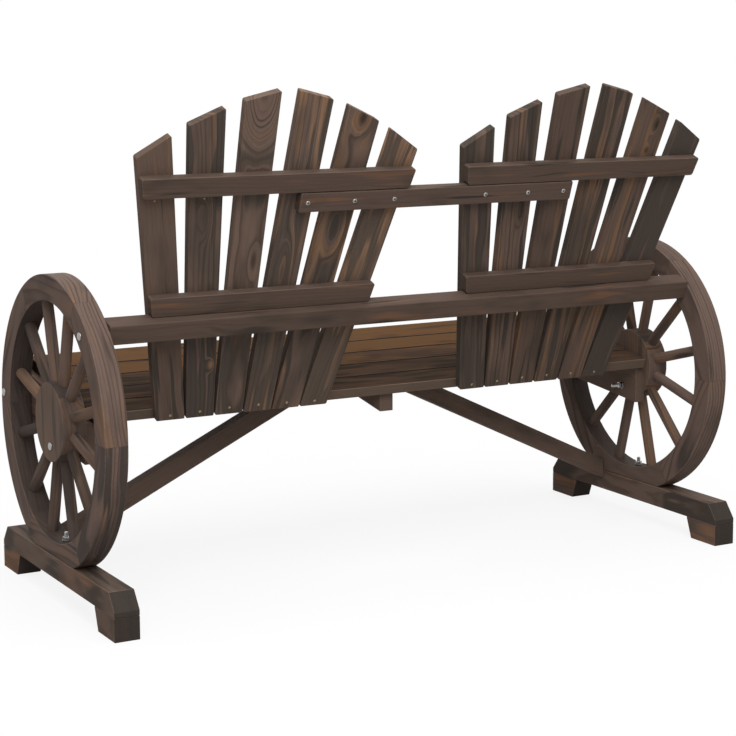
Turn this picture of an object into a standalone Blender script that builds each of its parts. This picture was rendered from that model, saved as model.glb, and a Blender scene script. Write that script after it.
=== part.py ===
"""Two-seat garden bench between wagon wheels, with two fan-shaped slatted backs.

Metres, +Z up. X runs along the bench, the sitter faces -Y and the sitter's left is +X.
The origin is on the floor under the middle of the two sleds.
Pieces that touch are kept GAP apart.
"""
import math

import bmesh
import bpy
from mathutils import Matrix, Vector

# Fit between touching pieces, and round a shank in its bore
GAP = 0.0003

# Sleds and the foot blocks under their ends
SLED_LENGTH = 0.600
SLED_WIDTH = 0.049
SLED_DEPTH = 0.043
SLED_CHAMFER_RUN = 0.025
SLED_CHAMFER_DROP = 0.032
FOOT_HEIGHT = 0.044
FOOT_LENGTH_TOP = 0.097
FOOT_LENGTH_BOTTOM = 0.0805

# Wheels: rim of felloes, round spokes, solid hub
WHEEL_FORWARD = 0.012
WHEEL_RADIUS = 0.280
RIM_DEPTH = 0.0495
RIM_THICKNESS = 0.045
RIM_FLAT = 0.0213
FELLOE_COUNT = 6
FELLOE_FACETS = 8
SPOKES_PER_FELLOE = 2
SPOKE_RADIUS = 0.011
SPOKE_TENON = 0.014
HUB_RADIUS = 0.076
HUB_PROUD = 0.002

# Backs: slats fanned in a leaning plane, each back between margins on its half of the seat
BACK_OUTER_MARGIN = 0.1197
BACK_INNER_MARGIN = 0.1558
BACK_SETBACK = 0.0723
BACK_LEAN = math.radians(19.5)
SLAT_COUNT = 6
SLAT_THICKNESS = 0.017
SLAT_FAN_STEP = math.radians(4.15)
SLAT_FOOT_SPACING = 0.0035
SLAT_FLARE = 0.0125
SLAT_FOOT_RISE = 0.005
ARCH_HEIGHT = 0.669
ARCH_SLOPE = 0.148
ARCH_BOW = 1.01

# Battens and rails on the rear of the backs; heights run up the leaning plane from hub level
BATTEN_THICKNESS = 0.019
BATTEN_WIDTH = 0.039
UPPER_BATTEN_RISE = 0.473
RAIL_DROP = 0.0015
RAIL_END_LEFT = 0.042
RAIL_END_RIGHT = 0.025
CROSSBAR_SIZE = 0.039
CROSSBAR_OFF_RIM_MIDDLE = 0.0073

# Seat and what carries it
SEAT_SLOPE = math.radians(9.5)
SEAT_REAR_RISE = 0.0222
SEAT_LENGTH = 1.276
SEAT_END_CLEARANCE = 0.014
SEAT_SLAT_COUNT = 5
SEAT_SLAT_WIDTH = 0.068
SEAT_FRONT_EXTRA = 0.013
SEAT_SLAT_SPACING = 0.0035
SEAT_SLAT_THICKNESS = 0.0215
END_BEARER_THICKNESS = 0.0235
END_BEARER_DEPTH = 0.0795
END_BEARER_FLARE = 0.023
CENTRE_BEARER_THICKNESS = 0.0305
CENTRE_BEARER_DEPTH = 0.039
BEARER_REAR_INSET = 0.022
BEARER_FRONT_INSET = 0.004

# Diagonal braces from the sleds to the seat
BRACE_WIDTH = 0.038
BRACE_THICKNESS = 0.030
BRACE_FOOT_OVER_SLED = 0.004
BRACE_HEAD_OFFSET = 0.048
BRACE_SEAT_SLAT = 2
BRACE_SET_FORWARD = 0.0066

# Bolts, nuts and the pegs that hold the foot blocks and the braces
BOLT_RADIUS = 0.004
BOLT_HEAD_RADIUS = 0.008
BOLT_HEAD_HEIGHT = 0.004
CROSSBAR_BOLT_BITE = 0.055
CROSSBAR_BOLT_DROP = 0.0095
CROSSBAR_BOLT_FORWARD = 0.008
RIM_BOLT_OFF_MIDDLE = 0.0075
RIM_BOLT_COVER = 0.006
HUB_BOLT_DROP = 0.045
HUB_BOLT_BACK = 0.006
HUB_BOLT_END = 0.018
SLED_BOLT_END = 0.009
WASHER_RADIUS = 0.0085
WASHER_THICKNESS = 0.0015
NUT_RADIUS = 0.0072
NUT_HEIGHT = 0.0065
PEG_RADIUS = 0.005
PEG_LENGTH = 0.012
PEG_ROOT = 0.004

# Facets round turned pieces
HUB_SIDES = 36
SPOKE_SIDES = 10
BOLT_SIDES = 12
PEG_SIDES = 8

# Rounds in which a point that depends on itself settles
SETTLING_ROUNDS = 30


def rise_at_radius(radius, depth):
    """Height up the leaning plane, at a depth behind its front, that lies on a circle round the hub."""
    offset = BACK_SETBACK * math.sin(BACK_LEAN)
    behind = BACK_SETBACK ** 2 + 2 * BACK_SETBACK * depth * math.cos(BACK_LEAN) + depth ** 2
    return math.sqrt(offset ** 2 - behind + radius ** 2) - offset


# Levels and planes that follow from the sizes above
SLED_TOP = FOOT_HEIGHT + SLED_DEPTH
HUB_HEIGHT = SLED_TOP + WHEEL_RADIUS - RIM_FLAT
WHEEL_INNER_FACE = SEAT_LENGTH / 2 + SEAT_END_CLEARANCE
WHEEL_MIDDLE = WHEEL_INNER_FACE + RIM_THICKNESS / 2
RIM_INNER_RADIUS = WHEEL_RADIUS - RIM_DEPTH
RIM_MIDDLE_RADIUS = WHEEL_RADIUS - RIM_DEPTH / 2
FELLOE_ANGLE = 2 * math.pi / FELLOE_COUNT
SLED_INNER_FACE = WHEEL_MIDDLE - SLED_WIDTH / 2
BEARER_INNER_FACE = WHEEL_INNER_FACE - GAP - END_BEARER_THICKNESS
SEAT_PITCH = SEAT_SLAT_WIDTH + SEAT_SLAT_SPACING
SEAT_DEPTH = SEAT_SLAT_COUNT * SEAT_PITCH - SEAT_SLAT_SPACING + SEAT_FRONT_EXTRA
BACK_FOOT_WIDTH = SEAT_LENGTH / 2 - BACK_OUTER_MARGIN - BACK_INNER_MARGIN
BACK_CENTRE = BACK_INNER_MARGIN + BACK_FOOT_WIDTH / 2
SLAT_PITCH = (BACK_FOOT_WIDTH + SLAT_FOOT_SPACING) / SLAT_COUNT
SLAT_WIDTH_FOOT = SLAT_PITCH - SLAT_FOOT_SPACING
BATTEN_FRONT = SLAT_THICKNESS + GAP
CROSSBAR_MIDDLE_DEPTH = BATTEN_FRONT + CROSSBAR_SIZE / 2
CROSSBAR_MIDDLE_RISE = rise_at_radius(RIM_MIDDLE_RADIUS + CROSSBAR_OFF_RIM_MIDDLE, CROSSBAR_MIDDLE_DEPTH)
CROSSBAR_RISE = CROSSBAR_MIDDLE_RISE - CROSSBAR_SIZE / 2
LOWER_BATTEN_RISE = CROSSBAR_RISE + CROSSBAR_SIZE + GAP
RAIL_RISE = UPPER_BATTEN_RISE - RAIL_DROP - BATTEN_WIDTH
NUT_STACK = WASHER_THICKNESS + NUT_HEIGHT
SIDES = {"left": 1, "right": -1}

# Frames: the leaning plane of each back, and the sloping seat from its rear top edge
WHEEL_Y = -WHEEL_FORWARD
BACK_TURN = Matrix.Rotation(-BACK_LEAN, 4, "X")
BACK_FRAMES = {
    name: Matrix.Translation((side * BACK_CENTRE, WHEEL_Y + BACK_SETBACK, HUB_HEIGHT)) @ BACK_TURN
    for name, side in SIDES.items()
}
SEAT_REAR_Y = WHEEL_Y + BACK_SETBACK + SEAT_REAR_RISE * math.tan(BACK_LEAN)
SEAT_REAR_Z = HUB_HEIGHT + SEAT_REAR_RISE
SEAT_FRAME = (
    Matrix.Translation((0, SEAT_REAR_Y, SEAT_REAR_Z)) @ Matrix.Rotation(-SEAT_SLOPE, 4, "X")
)


def clear_scene():
    """Removes every object that the file holds."""
    for obj in list(bpy.data.objects):
        bpy.data.objects.remove(obj, do_unlink=True)


def make_material(name, colour, roughness, metallic=0.0):
    """Makes a Principled material of one colour."""
    material = bpy.data.materials.new(name)
    material.use_nodes = True
    shader = material.node_tree.nodes["Principled BSDF"]
    shader.inputs["Base Color"].default_value = (*colour, 1.0)
    shader.inputs["Roughness"].default_value = roughness
    shader.inputs["Metallic"].default_value = metallic
    return material


def make_frame(name, matrix):
    """Adds an empty that pieces are placed on."""
    frame = bpy.data.objects.new(name, None)
    frame.empty_display_size = 0.05
    frame.matrix_world = matrix
    bpy.context.collection.objects.link(frame)
    return frame


def add_object(name, bm, parent):
    """Turns a bmesh into a linked object whose faces point out."""
    bmesh.ops.recalc_face_normals(bm, faces=bm.faces)
    mesh = bpy.data.meshes.new(name)
    bm.to_mesh(mesh)
    bm.free()
    obj = bpy.data.objects.new(name, mesh)
    obj.parent = parent
    bpy.context.collection.objects.link(obj)
    return obj


def add_piece(name, bm, material, parent=None, turned=False):
    """Adds a finished piece, shaded smooth where it is turned."""
    piece = add_object(name, bm, parent)
    piece.data.materials.append(material)
    if turned:
        piece.data.shade_smooth()
        piece.data.set_sharp_from_angle(angle=math.radians(40))
    return piece


def add_helper(name, bm):
    """Adds a hidden shape that cuts bores or is joined to a piece."""
    helper = add_object(name, bm, None)
    helper.display_type = "WIRE"
    helper.hide_render = True
    return helper


def combine(pieces, helper, operation):
    """Cuts the same bores out of each piece, or joins a helper's shapes to it."""
    for piece in pieces:
        boolean = piece.modifiers.new(helper.name, "BOOLEAN")
        boolean.operation = operation
        boolean.solver = "EXACT"
        boolean.object = helper


def prism(outline, axis, low, high):
    """Extrudes a flat outline along X, Y or Z, from low to high."""
    bm = bmesh.new()
    rings = []
    for level in (low, high):
        ring = []
        for first, second in outline:
            place = {
                "X": (level, first, second),
                "Y": (first, level, second),
                "Z": (first, second, level),
            }
            ring.append(bm.verts.new(place[axis]))
        rings.append(ring)
    bm.faces.new(rings[0])
    bm.faces.new(rings[1])
    count = len(outline)
    for i in range(count):
        j = (i + 1) % count
        bm.faces.new((rings[0][i], rings[0][j], rings[1][j], rings[1][i]))
    return bm


def add_turned(bm, profile, sides, start, direction, ring_shaped=False):
    """Turns (distance, radius) points about the line from start; a ring has an open middle."""
    turn = Vector(direction).to_track_quat("Z", "Y").to_matrix()
    rings = []
    for distance, radius in profile:
        ring = []
        for step in range(sides):
            angle = 2 * math.pi * (step + 0.5) / sides
            local = Vector((radius * math.cos(angle), radius * math.sin(angle), distance))
            ring.append(bm.verts.new(Vector(start) + turn @ local))
        rings.append(ring)
    pairs = list(zip(rings, rings[1:]))
    if ring_shaped:
        pairs.append((rings[-1], rings[0]))
    else:
        bm.faces.new(rings[0])
        bm.faces.new(rings[-1])
    for lower, upper in pairs:
        for i in range(sides):
            j = (i + 1) % sides
            bm.faces.new((lower[i], lower[j], upper[j], upper[i]))


def trim(bm, point, outward):
    """Cuts away what lies past a plane and closes the cut."""
    geometry = bm.verts[:] + bm.edges[:] + bm.faces[:]
    result = bmesh.ops.bisect_plane(
        bm, geom=geometry, dist=1e-7, plane_co=point, plane_no=outward, clear_outer=True
    )
    edges = [item for item in result["geom_cut"] if isinstance(item, bmesh.types.BMEdge)]
    bmesh.ops.contextual_create(bm, geom=edges)


def wheel_point(angle, radius):
    """Gives (y, z) of a point on a wheel, from the rear (0) over the top (90 degrees)."""
    return WHEEL_Y + radius * math.cos(angle), HUB_HEIGHT + radius * math.sin(angle)


def seat_top(y):
    """Height of the seat's upper surface."""
    return SEAT_REAR_Z + (SEAT_REAR_Y - y) * math.tan(SEAT_SLOPE)


def seat_underside(y):
    """Height of the seat's lower surface, less the fit."""
    return seat_top(y) - (SEAT_SLAT_THICKNESS + GAP) / math.cos(SEAT_SLOPE)


def slat_rank(number):
    """Place of a back slat counted from the middle of the fan, positive to the left."""
    return (SLAT_COUNT - 1) / 2 - number


def slat_middle(rank, rise):
    """Sideways place of a slat's centre line at a height up the back."""
    return rank * SLAT_PITCH + (rise - SLAT_FOOT_RISE) * math.tan(rank * SLAT_FAN_STEP)


def slat_edge(rank, side, rise):
    """Sideways place of a slat's left (1) or right (-1) edge at a height up the back."""
    share = (rise - SLAT_FOOT_RISE) / (ARCH_HEIGHT - SLAT_FOOT_RISE)
    width = SLAT_WIDTH_FOOT + SLAT_FLARE * share
    return slat_middle(rank, rise) + side * width / 2 / math.cos(rank * SLAT_FAN_STEP)


def arch_corner(rank, side):
    """The point where a slat's edge meets the arch over the fan."""
    rise = ARCH_HEIGHT
    for _ in range(SETTLING_ROUNDS):
        across = abs(slat_edge(rank, side, rise))
        rise = ARCH_HEIGHT - ARCH_SLOPE * across - ARCH_BOW * across ** 2
    return slat_edge(rank, side, rise), rise


def make_materials():
    """Charred fir in a few tones, and plated steel."""
    return {
        "slat": make_material("charred_fir_slat", (0.082, 0.058, 0.044), 0.62),
        "frame": make_material("charred_fir_frame", (0.074, 0.052, 0.039), 0.62),
        "wheel": make_material("charred_fir_wheel", (0.088, 0.064, 0.049), 0.62),
        "seat": make_material("charred_fir_seat", (0.125, 0.072, 0.036), 0.6),
        "zinc": make_material("zinc_plated_steel", (0.62, 0.62, 0.64), 0.32, 1.0),
    }


class Bench:
    """Holds the pieces by name, their materials and the frames that they are placed on."""

    def __init__(self):
        self.materials = make_materials()
        self.pieces = {}
        self.back_frames = {
            name: make_frame(f"back_frame_{name}", matrix) for name, matrix in BACK_FRAMES.items()
        }
        self.seat_frame = make_frame("seat_frame", SEAT_FRAME)

    def add(self, name, bm, material, parent=None, turned=False):
        """Adds a piece and remembers it by name."""
        self.pieces[name] = add_piece(name, bm, self.materials[material], parent, turned)

    def named(self, start):
        """All pieces whose names start alike."""
        return [piece for name, piece in self.pieces.items() if name.startswith(start)]


def build_sleds(bench):
    """Beams that stand under the wheels, each on two blocks with slanted inner ends."""
    half = SLED_LENGTH / 2
    shoulder = SLED_TOP - SLED_CHAMFER_DROP
    crown = half - SLED_CHAMFER_RUN
    beam = [(-half, FOOT_HEIGHT), (half, FOOT_HEIGHT), (half, shoulder), (crown, SLED_TOP)]
    beam += [(-crown, SLED_TOP), (-half, shoulder)]
    foot_top = FOOT_HEIGHT - GAP
    for name, side in SIDES.items():
        low = side * WHEEL_MIDDLE - SLED_WIDTH / 2
        high = low + SLED_WIDTH
        bench.add(f"sled_{name}", prism(beam, "X", low, high), "frame")
        for end, way in (("rear", 1), ("front", -1)):
            block = [(way * half, 0), (way * half, foot_top)]
            block += [(way * (half - FOOT_LENGTH_TOP), foot_top), (way * (half - FOOT_LENGTH_BOTTOM), 0)]
            bench.add(f"foot_block_{name}_{end}", prism(block, "X", low, high), "frame")


def felloe_outline(number):
    """One sector of the rim, short of its neighbours by the fit."""
    inset = GAP / 2 / RIM_INNER_RADIUS
    first = number * FELLOE_ANGLE + inset
    step = (FELLOE_ANGLE - 2 * inset) / FELLOE_FACETS
    angles = [first + step * i for i in range(FELLOE_FACETS + 1)]
    outer = [wheel_point(angle, WHEEL_RADIUS) for angle in angles]
    inner = [wheel_point(angle, RIM_INNER_RADIUS) for angle in reversed(angles)]
    return outer + inner


def spoke_angles():
    """Spokes stand evenly, the same number in each felloe."""
    count = FELLOE_COUNT * SPOKES_PER_FELLOE
    return [2 * math.pi * (i + 0.5) / count for i in range(count)]


def build_wheels(bench):
    """Two fixed wheels: felloes flattened on the sled, round the spokes of a hub disc."""
    for name, side in SIDES.items():
        middle = side * WHEEL_MIDDLE
        for number in range(FELLOE_COUNT):
            faces = (middle - RIM_THICKNESS / 2, middle + RIM_THICKNESS / 2)
            bm = prism(felloe_outline(number), "X", *faces)
            trim(bm, (0, 0, SLED_TOP + GAP), (0, 0, -1))
            bench.add(f"felloe_{name}_{number + 1}", bm, "wheel", turned=True)
        hub = bmesh.new()
        hub_profile = [(0, HUB_RADIUS), (RIM_THICKNESS + HUB_PROUD, HUB_RADIUS)]
        hub_start = (side * WHEEL_INNER_FACE, WHEEL_Y, HUB_HEIGHT)
        add_turned(hub, hub_profile, HUB_SIDES, hub_start, (side, 0, 0))
        bench.add(f"spoked_hub_{name}", hub, "wheel", turned=True)
        build_spokes(bench, name, middle)


def build_spokes(bench, name, middle):
    """Round spokes fixed in the hub, with tenons in sockets in the felloes."""
    spokes = bmesh.new()
    sockets = bmesh.new()
    inside = HUB_RADIUS - SPOKE_TENON
    length = RIM_INNER_RADIUS + SPOKE_TENON - inside
    for angle in spoke_angles():
        direction = Vector((0, math.cos(angle), math.sin(angle)))
        start = Vector((middle, WHEEL_Y, HUB_HEIGHT)) + direction * inside
        rod = [(0, SPOKE_RADIUS), (length, SPOKE_RADIUS)]
        socket = [(0, SPOKE_RADIUS + GAP), (length + GAP, SPOKE_RADIUS + GAP)]
        add_turned(spokes, rod, SPOKE_SIDES, start, direction)
        add_turned(sockets, socket, SPOKE_SIDES, start, direction)
    combine(bench.named(f"spoked_hub_{name}"), add_helper(f"spokes_{name}", spokes), "UNION")
    helper = add_helper(f"spoke_sockets_{name}", sockets)
    combine(bench.named(f"felloe_{name}"), helper, "DIFFERENCE")


def build_backs(bench):
    """Two fans of tapered slats, each held by an upper and a lower batten on its rear."""
    for name in SIDES:
        frame = bench.back_frames[name]
        for number in range(SLAT_COUNT):
            rank = slat_rank(number)
            outline = [(slat_edge(rank, side, SLAT_FOOT_RISE), SLAT_FOOT_RISE) for side in (1, -1)]
            outline += [arch_corner(rank, side) for side in (-1, 1)]
            slat = prism(outline, "Y", 0, SLAT_THICKNESS)
            bench.add(f"back_slat_{name}_{number + 1}", slat, "slat", frame)
        for level, rise in (("upper", UPPER_BATTEN_RISE), ("lower", LOWER_BATTEN_RISE)):
            batten = prism(batten_outline(rise), "Y", BATTEN_FRONT, BATTEN_FRONT + BATTEN_THICKNESS)
            bench.add(f"{level}_batten_{name}", batten, "frame", frame)


def batten_outline(rise):
    """A batten whose ends follow the outer slats' edges."""
    top = rise + BATTEN_WIDTH
    outer = slat_rank(0)
    half_low = slat_edge(outer, 1, rise)
    half_high = slat_edge(outer, 1, top)
    return [(-half_low, rise), (half_low, rise), (half_high, top), (-half_high, top)]


def build_rails(bench):
    """The rail that joins the two backs, and the crossbar from wheel to wheel behind them."""
    frame = make_frame("rail_frame", Matrix.Translation((-BACK_CENTRE, 0, 0)) @ BACK_FRAMES["left"])
    left = BACK_CENTRE - RAIL_END_LEFT
    right = RAIL_END_RIGHT - BACK_CENTRE
    rail = [(right, RAIL_RISE), (left, RAIL_RISE)]
    rail += [(left, RAIL_RISE + BATTEN_WIDTH), (right, RAIL_RISE + BATTEN_WIDTH)]
    bm = prism(rail, "Y", BATTEN_FRONT, BATTEN_FRONT + BATTEN_THICKNESS)
    bench.add("joining_rail", bm, "frame", frame)
    half = WHEEL_INNER_FACE - GAP
    top = CROSSBAR_RISE + CROSSBAR_SIZE
    bar = [(-half, CROSSBAR_RISE), (half, CROSSBAR_RISE), (half, top), (-half, top)]
    bench.add("rear_crossbar", prism(bar, "Y", BATTEN_FRONT, BATTEN_FRONT + CROSSBAR_SIZE), "frame", frame)


def build_seat(bench):
    """Seat slats from the rear one, bevelled against the backs, to the wider front one."""
    bevel = SEAT_SLAT_THICKNESS * math.tan(BACK_LEAN - SEAT_SLOPE)
    for number in range(SEAT_SLAT_COUNT):
        rear = -number * SEAT_PITCH
        front = rear - SEAT_SLAT_WIDTH
        rear_low = rear
        if number == 0:
            rear = -GAP
            rear_low = rear - bevel
        if number == SEAT_SLAT_COUNT - 1:
            front -= SEAT_FRONT_EXTRA
        outline = [(front, -SEAT_SLAT_THICKNESS), (rear_low, -SEAT_SLAT_THICKNESS), (rear, 0), (front, 0)]
        slat = prism(outline, "X", -SEAT_LENGTH / 2, SEAT_LENGTH / 2)
        bench.add(f"seat_slat_{number + 1}", slat, "seat", bench.seat_frame)


def bearer_outline(depth, flare=0):
    """Side view of a seat bearer with plumb ends, as deep all along or deeper at the front by the flare."""
    rear = SEAT_REAR_Y - BEARER_REAR_INSET
    front = SEAT_REAR_Y - SEAT_DEPTH * math.cos(SEAT_SLOPE) + BEARER_FRONT_INSET
    drop = depth / math.cos(SEAT_SLOPE)
    return [
        (front, seat_underside(front)),
        (rear, seat_underside(rear)),
        (rear, seat_underside(rear) - drop),
        (front, seat_underside(front) - drop - flare),
    ]


def build_bearers(bench):
    """Deep bearers bolted to the wheels, and a shallow one under the middle of the seat."""
    for name, side in SIDES.items():
        faces = sorted((side * BEARER_INNER_FACE, side * (BEARER_INNER_FACE + END_BEARER_THICKNESS)))
        outline = bearer_outline(END_BEARER_DEPTH, END_BEARER_FLARE)
        bench.add(f"end_bearer_{name}", prism(outline, "X", *faces), "frame")
    half = CENTRE_BEARER_THICKNESS / 2
    bench.add("centre_bearer", prism(bearer_outline(CENTRE_BEARER_DEPTH), "X", -half, half), "frame")


def brace_line():
    """The y of a brace's middle, and the (x, z) ends of its centre line on the left side."""
    along = BRACE_SEAT_SLAT * SEAT_PITCH + SEAT_SLAT_WIDTH / 2
    y = SEAT_REAR_Y - along * math.cos(SEAT_SLOPE) - BRACE_SET_FORWARD
    foot = Vector((min(SLED_INNER_FACE, WHEEL_INNER_FACE) - GAP, SLED_TOP + BRACE_FOOT_OVER_SLED))
    head = Vector((BRACE_HEAD_OFFSET, seat_underside(y)))
    return y, foot, head


def build_braces(bench):
    """Boards from each sled up to the middle of the seat, made too long and trimmed to fit."""
    y, foot, head = brace_line()
    along = (head - foot).normalized()
    across = Vector((-along.y, along.x)) * BRACE_WIDTH / 2
    spare = along * BRACE_WIDTH * 4
    low = foot - spare
    high = head + spare
    corners = [low - across, high - across, high + across, low + across]
    bearer_side = CENTRE_BEARER_THICKNESS / 2 + GAP
    seat_normal = SEAT_FRAME.to_3x3() @ Vector((0, 0, 1))
    for name, side in SIDES.items():
        outline = [(side * corner.x, corner.y) for corner in corners]
        bm = prism(outline, "Y", y - BRACE_THICKNESS / 2, y + BRACE_THICKNESS / 2)
        trim(bm, (side * foot.x, y, foot.y), (side, 0, 0))
        trim(bm, (0, y, head.y), seat_normal)
        trim(bm, (side * bearer_side, y, 0), (-side, 0, 0))
        bench.add(f"brace_{name}", bm, "frame")


def add_bolt(bench, name, start, direction, length, targets):
    """A round-headed bolt driven in from a point on a surface, and its bore through the targets."""
    bolt = bmesh.new()
    bore = bmesh.new()
    head_top = -GAP - BOLT_HEAD_HEIGHT
    profile = [
        (head_top, BOLT_HEAD_RADIUS - BOLT_HEAD_HEIGHT / 2),
        (head_top + BOLT_HEAD_HEIGHT / 2, BOLT_HEAD_RADIUS),
        (-GAP, BOLT_HEAD_RADIUS),
        (-GAP, BOLT_RADIUS),
        (length, BOLT_RADIUS),
    ]
    clear = [(head_top, BOLT_RADIUS + GAP), (length + GAP, BOLT_RADIUS + GAP)]
    add_turned(bolt, profile, BOLT_SIDES, start, direction)
    add_turned(bore, clear, BOLT_SIDES, start, direction)
    bench.add(name, bolt, "zinc", turned=True)
    combine(targets, add_helper(f"{name}_bore", bore), "DIFFERENCE")


def add_nut(bench, name, seat, direction):
    """A washer and nut in one, from the surface that it is tightened against."""
    nut = bmesh.new()
    hole = BOLT_RADIUS + GAP
    profile = [
        (GAP, hole),
        (GAP, WASHER_RADIUS),
        (WASHER_THICKNESS, WASHER_RADIUS),
        (WASHER_THICKNESS, NUT_RADIUS),
        (NUT_STACK, NUT_RADIUS),
        (NUT_STACK, hole),
    ]
    add_turned(nut, profile, BOLT_SIDES, seat, direction, ring_shaped=True)
    bench.add(name, nut, "zinc", turned=True)


def crossbar_bolt_place():
    """(y, z) of the bolt in the crossbar's end, below and before its middle."""
    depth = CROSSBAR_MIDDLE_DEPTH - CROSSBAR_BOLT_FORWARD
    place = BACK_FRAMES["left"] @ Vector((0, depth, CROSSBAR_MIDDLE_RISE - CROSSBAR_BOLT_DROP))
    return place.y, place.z


def rim_bolt_place():
    """(y, z) of the bolt through the front of the rim, half of the rear depth below the end bearer's top."""
    radius = RIM_MIDDLE_RADIUS + RIM_BOLT_OFF_MIDDLE
    y = WHEEL_Y - radius
    for _ in range(SETTLING_ROUNDS):
        z = seat_underside(y) - END_BEARER_DEPTH / math.cos(SEAT_SLOPE) / 2
        y = WHEEL_Y - math.sqrt(radius ** 2 - (z - HUB_HEIGHT) ** 2)
    return y, z


def bolt_wheels(bench):
    """Bolts through each wheel into the crossbar and the end bearer."""
    for name, side in SIDES.items():
        inward = (-side, 0, 0)
        rim = bench.named(f"felloe_{name}")
        bearer = bench.named(f"end_bearer_{name}")
        rim_face = side * (WHEEL_INNER_FACE + RIM_THICKNESS)
        reach = RIM_THICKNESS + GAP
        start = (rim_face, *crossbar_bolt_place())
        targets = rim + bench.named("rear_crossbar")
        add_bolt(bench, f"crossbar_bolt_{name}", start, inward, reach + CROSSBAR_BOLT_BITE, targets)
        bite = reach + END_BEARER_THICKNESS - RIM_BOLT_COVER
        start = (rim_face, *rim_bolt_place())
        add_bolt(bench, f"rim_bolt_{name}", start, inward, bite, rim + bearer)
        place = (WHEEL_Y + HUB_BOLT_BACK, HUB_HEIGHT - HUB_BOLT_DROP)
        start = (rim_face + side * HUB_PROUD, *place)
        through = HUB_PROUD + reach + END_BEARER_THICKNESS + NUT_STACK + HUB_BOLT_END
        targets = bench.named(f"spoked_hub_{name}") + bearer
        add_bolt(bench, f"hub_bolt_{name}", start, inward, through, targets)
        add_nut(bench, f"hub_nut_{name}", (side * BEARER_INNER_FACE, *place), inward)


def bolt_sleds(bench):
    """Bolts up through the middle of each sled and the felloe that stands on it."""
    facet_radius = RIM_INNER_RADIUS * math.cos(FELLOE_ANGLE / FELLOE_FACETS / 2)
    washer_reach = WHEEL_FORWARD + WASHER_RADIUS
    nut_seat = HUB_HEIGHT - math.sqrt(facet_radius ** 2 - washer_reach ** 2)
    length = nut_seat + NUT_STACK + SLED_BOLT_END - FOOT_HEIGHT
    for name, side in SIDES.items():
        x = side * WHEEL_MIDDLE
        targets = bench.named(f"sled_{name}") + bench.named(f"felloe_{name}")
        add_bolt(bench, f"sled_bolt_{name}", (x, 0, FOOT_HEIGHT), (0, 0, 1), length, targets)
        add_nut(bench, f"sled_nut_{name}", (x, 0, nut_seat), (0, 0, 1))


def add_peg(bench, owner, target, joint, direction):
    """A peg on the owner's end that stands in a blind bore in the target."""
    peg = bmesh.new()
    bore = bmesh.new()
    add_turned(peg, [(-PEG_ROOT, PEG_RADIUS), (PEG_LENGTH, PEG_RADIUS)], PEG_SIDES, joint, direction)
    clear = [(-PEG_ROOT, PEG_RADIUS + GAP), (PEG_LENGTH + GAP, PEG_RADIUS + GAP)]
    add_turned(bore, clear, PEG_SIDES, joint, direction)
    combine(bench.named(owner), add_helper(f"{owner}_peg", peg), "UNION")
    combine(bench.named(target), add_helper(f"{owner}_peg_bore", bore), "DIFFERENCE")


def peg_joints(bench):
    """Pegs that hold the foot blocks under the sleds and the braces between sled and seat."""
    y, foot, head = brace_line()
    seat_normal = SEAT_FRAME.to_3x3() @ Vector((0, 0, 1))
    foot_low = foot.y - BRACE_WIDTH / 2
    for name, side in SIDES.items():
        for end, way in (("rear", 1), ("front", -1)):
            joint = (side * WHEEL_MIDDLE, way * (SLED_LENGTH - FOOT_LENGTH_BOTTOM) / 2, FOOT_HEIGHT - GAP)
            add_peg(bench, f"foot_block_{name}_{end}", f"sled_{name}", joint, (0, 0, 1))
        joint = (side * foot.x, y, (foot_low + SLED_TOP) / 2)
        add_peg(bench, f"brace_{name}", f"sled_{name}", joint, (side, 0, 0))
        joint = (side * head.x, y, head.y)
        add_peg(bench, f"brace_{name}", f"seat_slat_{BRACE_SEAT_SLAT + 1}", joint, seat_normal)


def main():
    """Builds the bench from the floor up."""
    clear_scene()
    bench = Bench()
    build_sleds(bench)
    build_wheels(bench)
    build_backs(bench)
    build_rails(bench)
    build_seat(bench)
    build_bearers(bench)
    build_braces(bench)
    bolt_wheels(bench)
    bolt_sleds(bench)
    peg_joints(bench)


main()
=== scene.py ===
"""Dresses a two-seat wagon wheel bench: scorched fir boards, spoked wheels, plated bolts and wood screws."""

import logging
import math
import random
from collections.abc import Callable, Iterable, Sequence
from dataclasses import dataclass, field, replace
from enum import Enum
from functools import cached_property, partial
from typing import Any

import bmesh
import bpy
import numpy as np
from bmesh.types import BMEdge, BMesh, BMVert
from bpy.types import ID, Material, Mesh, MeshPolygon, NodeSocket, NodeTree, Object
from mathutils import Matrix, Vector


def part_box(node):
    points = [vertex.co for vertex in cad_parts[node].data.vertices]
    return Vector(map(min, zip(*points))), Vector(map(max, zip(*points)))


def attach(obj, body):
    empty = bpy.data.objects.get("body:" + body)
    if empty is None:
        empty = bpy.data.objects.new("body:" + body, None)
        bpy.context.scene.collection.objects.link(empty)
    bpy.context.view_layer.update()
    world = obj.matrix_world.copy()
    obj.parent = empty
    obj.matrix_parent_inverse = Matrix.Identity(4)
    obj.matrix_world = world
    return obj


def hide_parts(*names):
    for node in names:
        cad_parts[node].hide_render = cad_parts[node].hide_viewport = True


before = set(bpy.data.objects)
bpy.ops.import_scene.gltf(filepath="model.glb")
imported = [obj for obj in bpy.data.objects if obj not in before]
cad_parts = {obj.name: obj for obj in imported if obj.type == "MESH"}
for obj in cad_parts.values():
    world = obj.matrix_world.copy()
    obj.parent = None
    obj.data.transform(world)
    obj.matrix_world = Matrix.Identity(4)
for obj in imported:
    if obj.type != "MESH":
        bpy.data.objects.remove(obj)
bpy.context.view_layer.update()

BODY = "root"
LOG = logging.getLogger("bench")
MM = 0.001
MERGE = 0.01 * MM
WHITE = (1.0, 1.0, 1.0, 1.0)
KNOT_LAYERS = ("knot", "eye")

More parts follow.
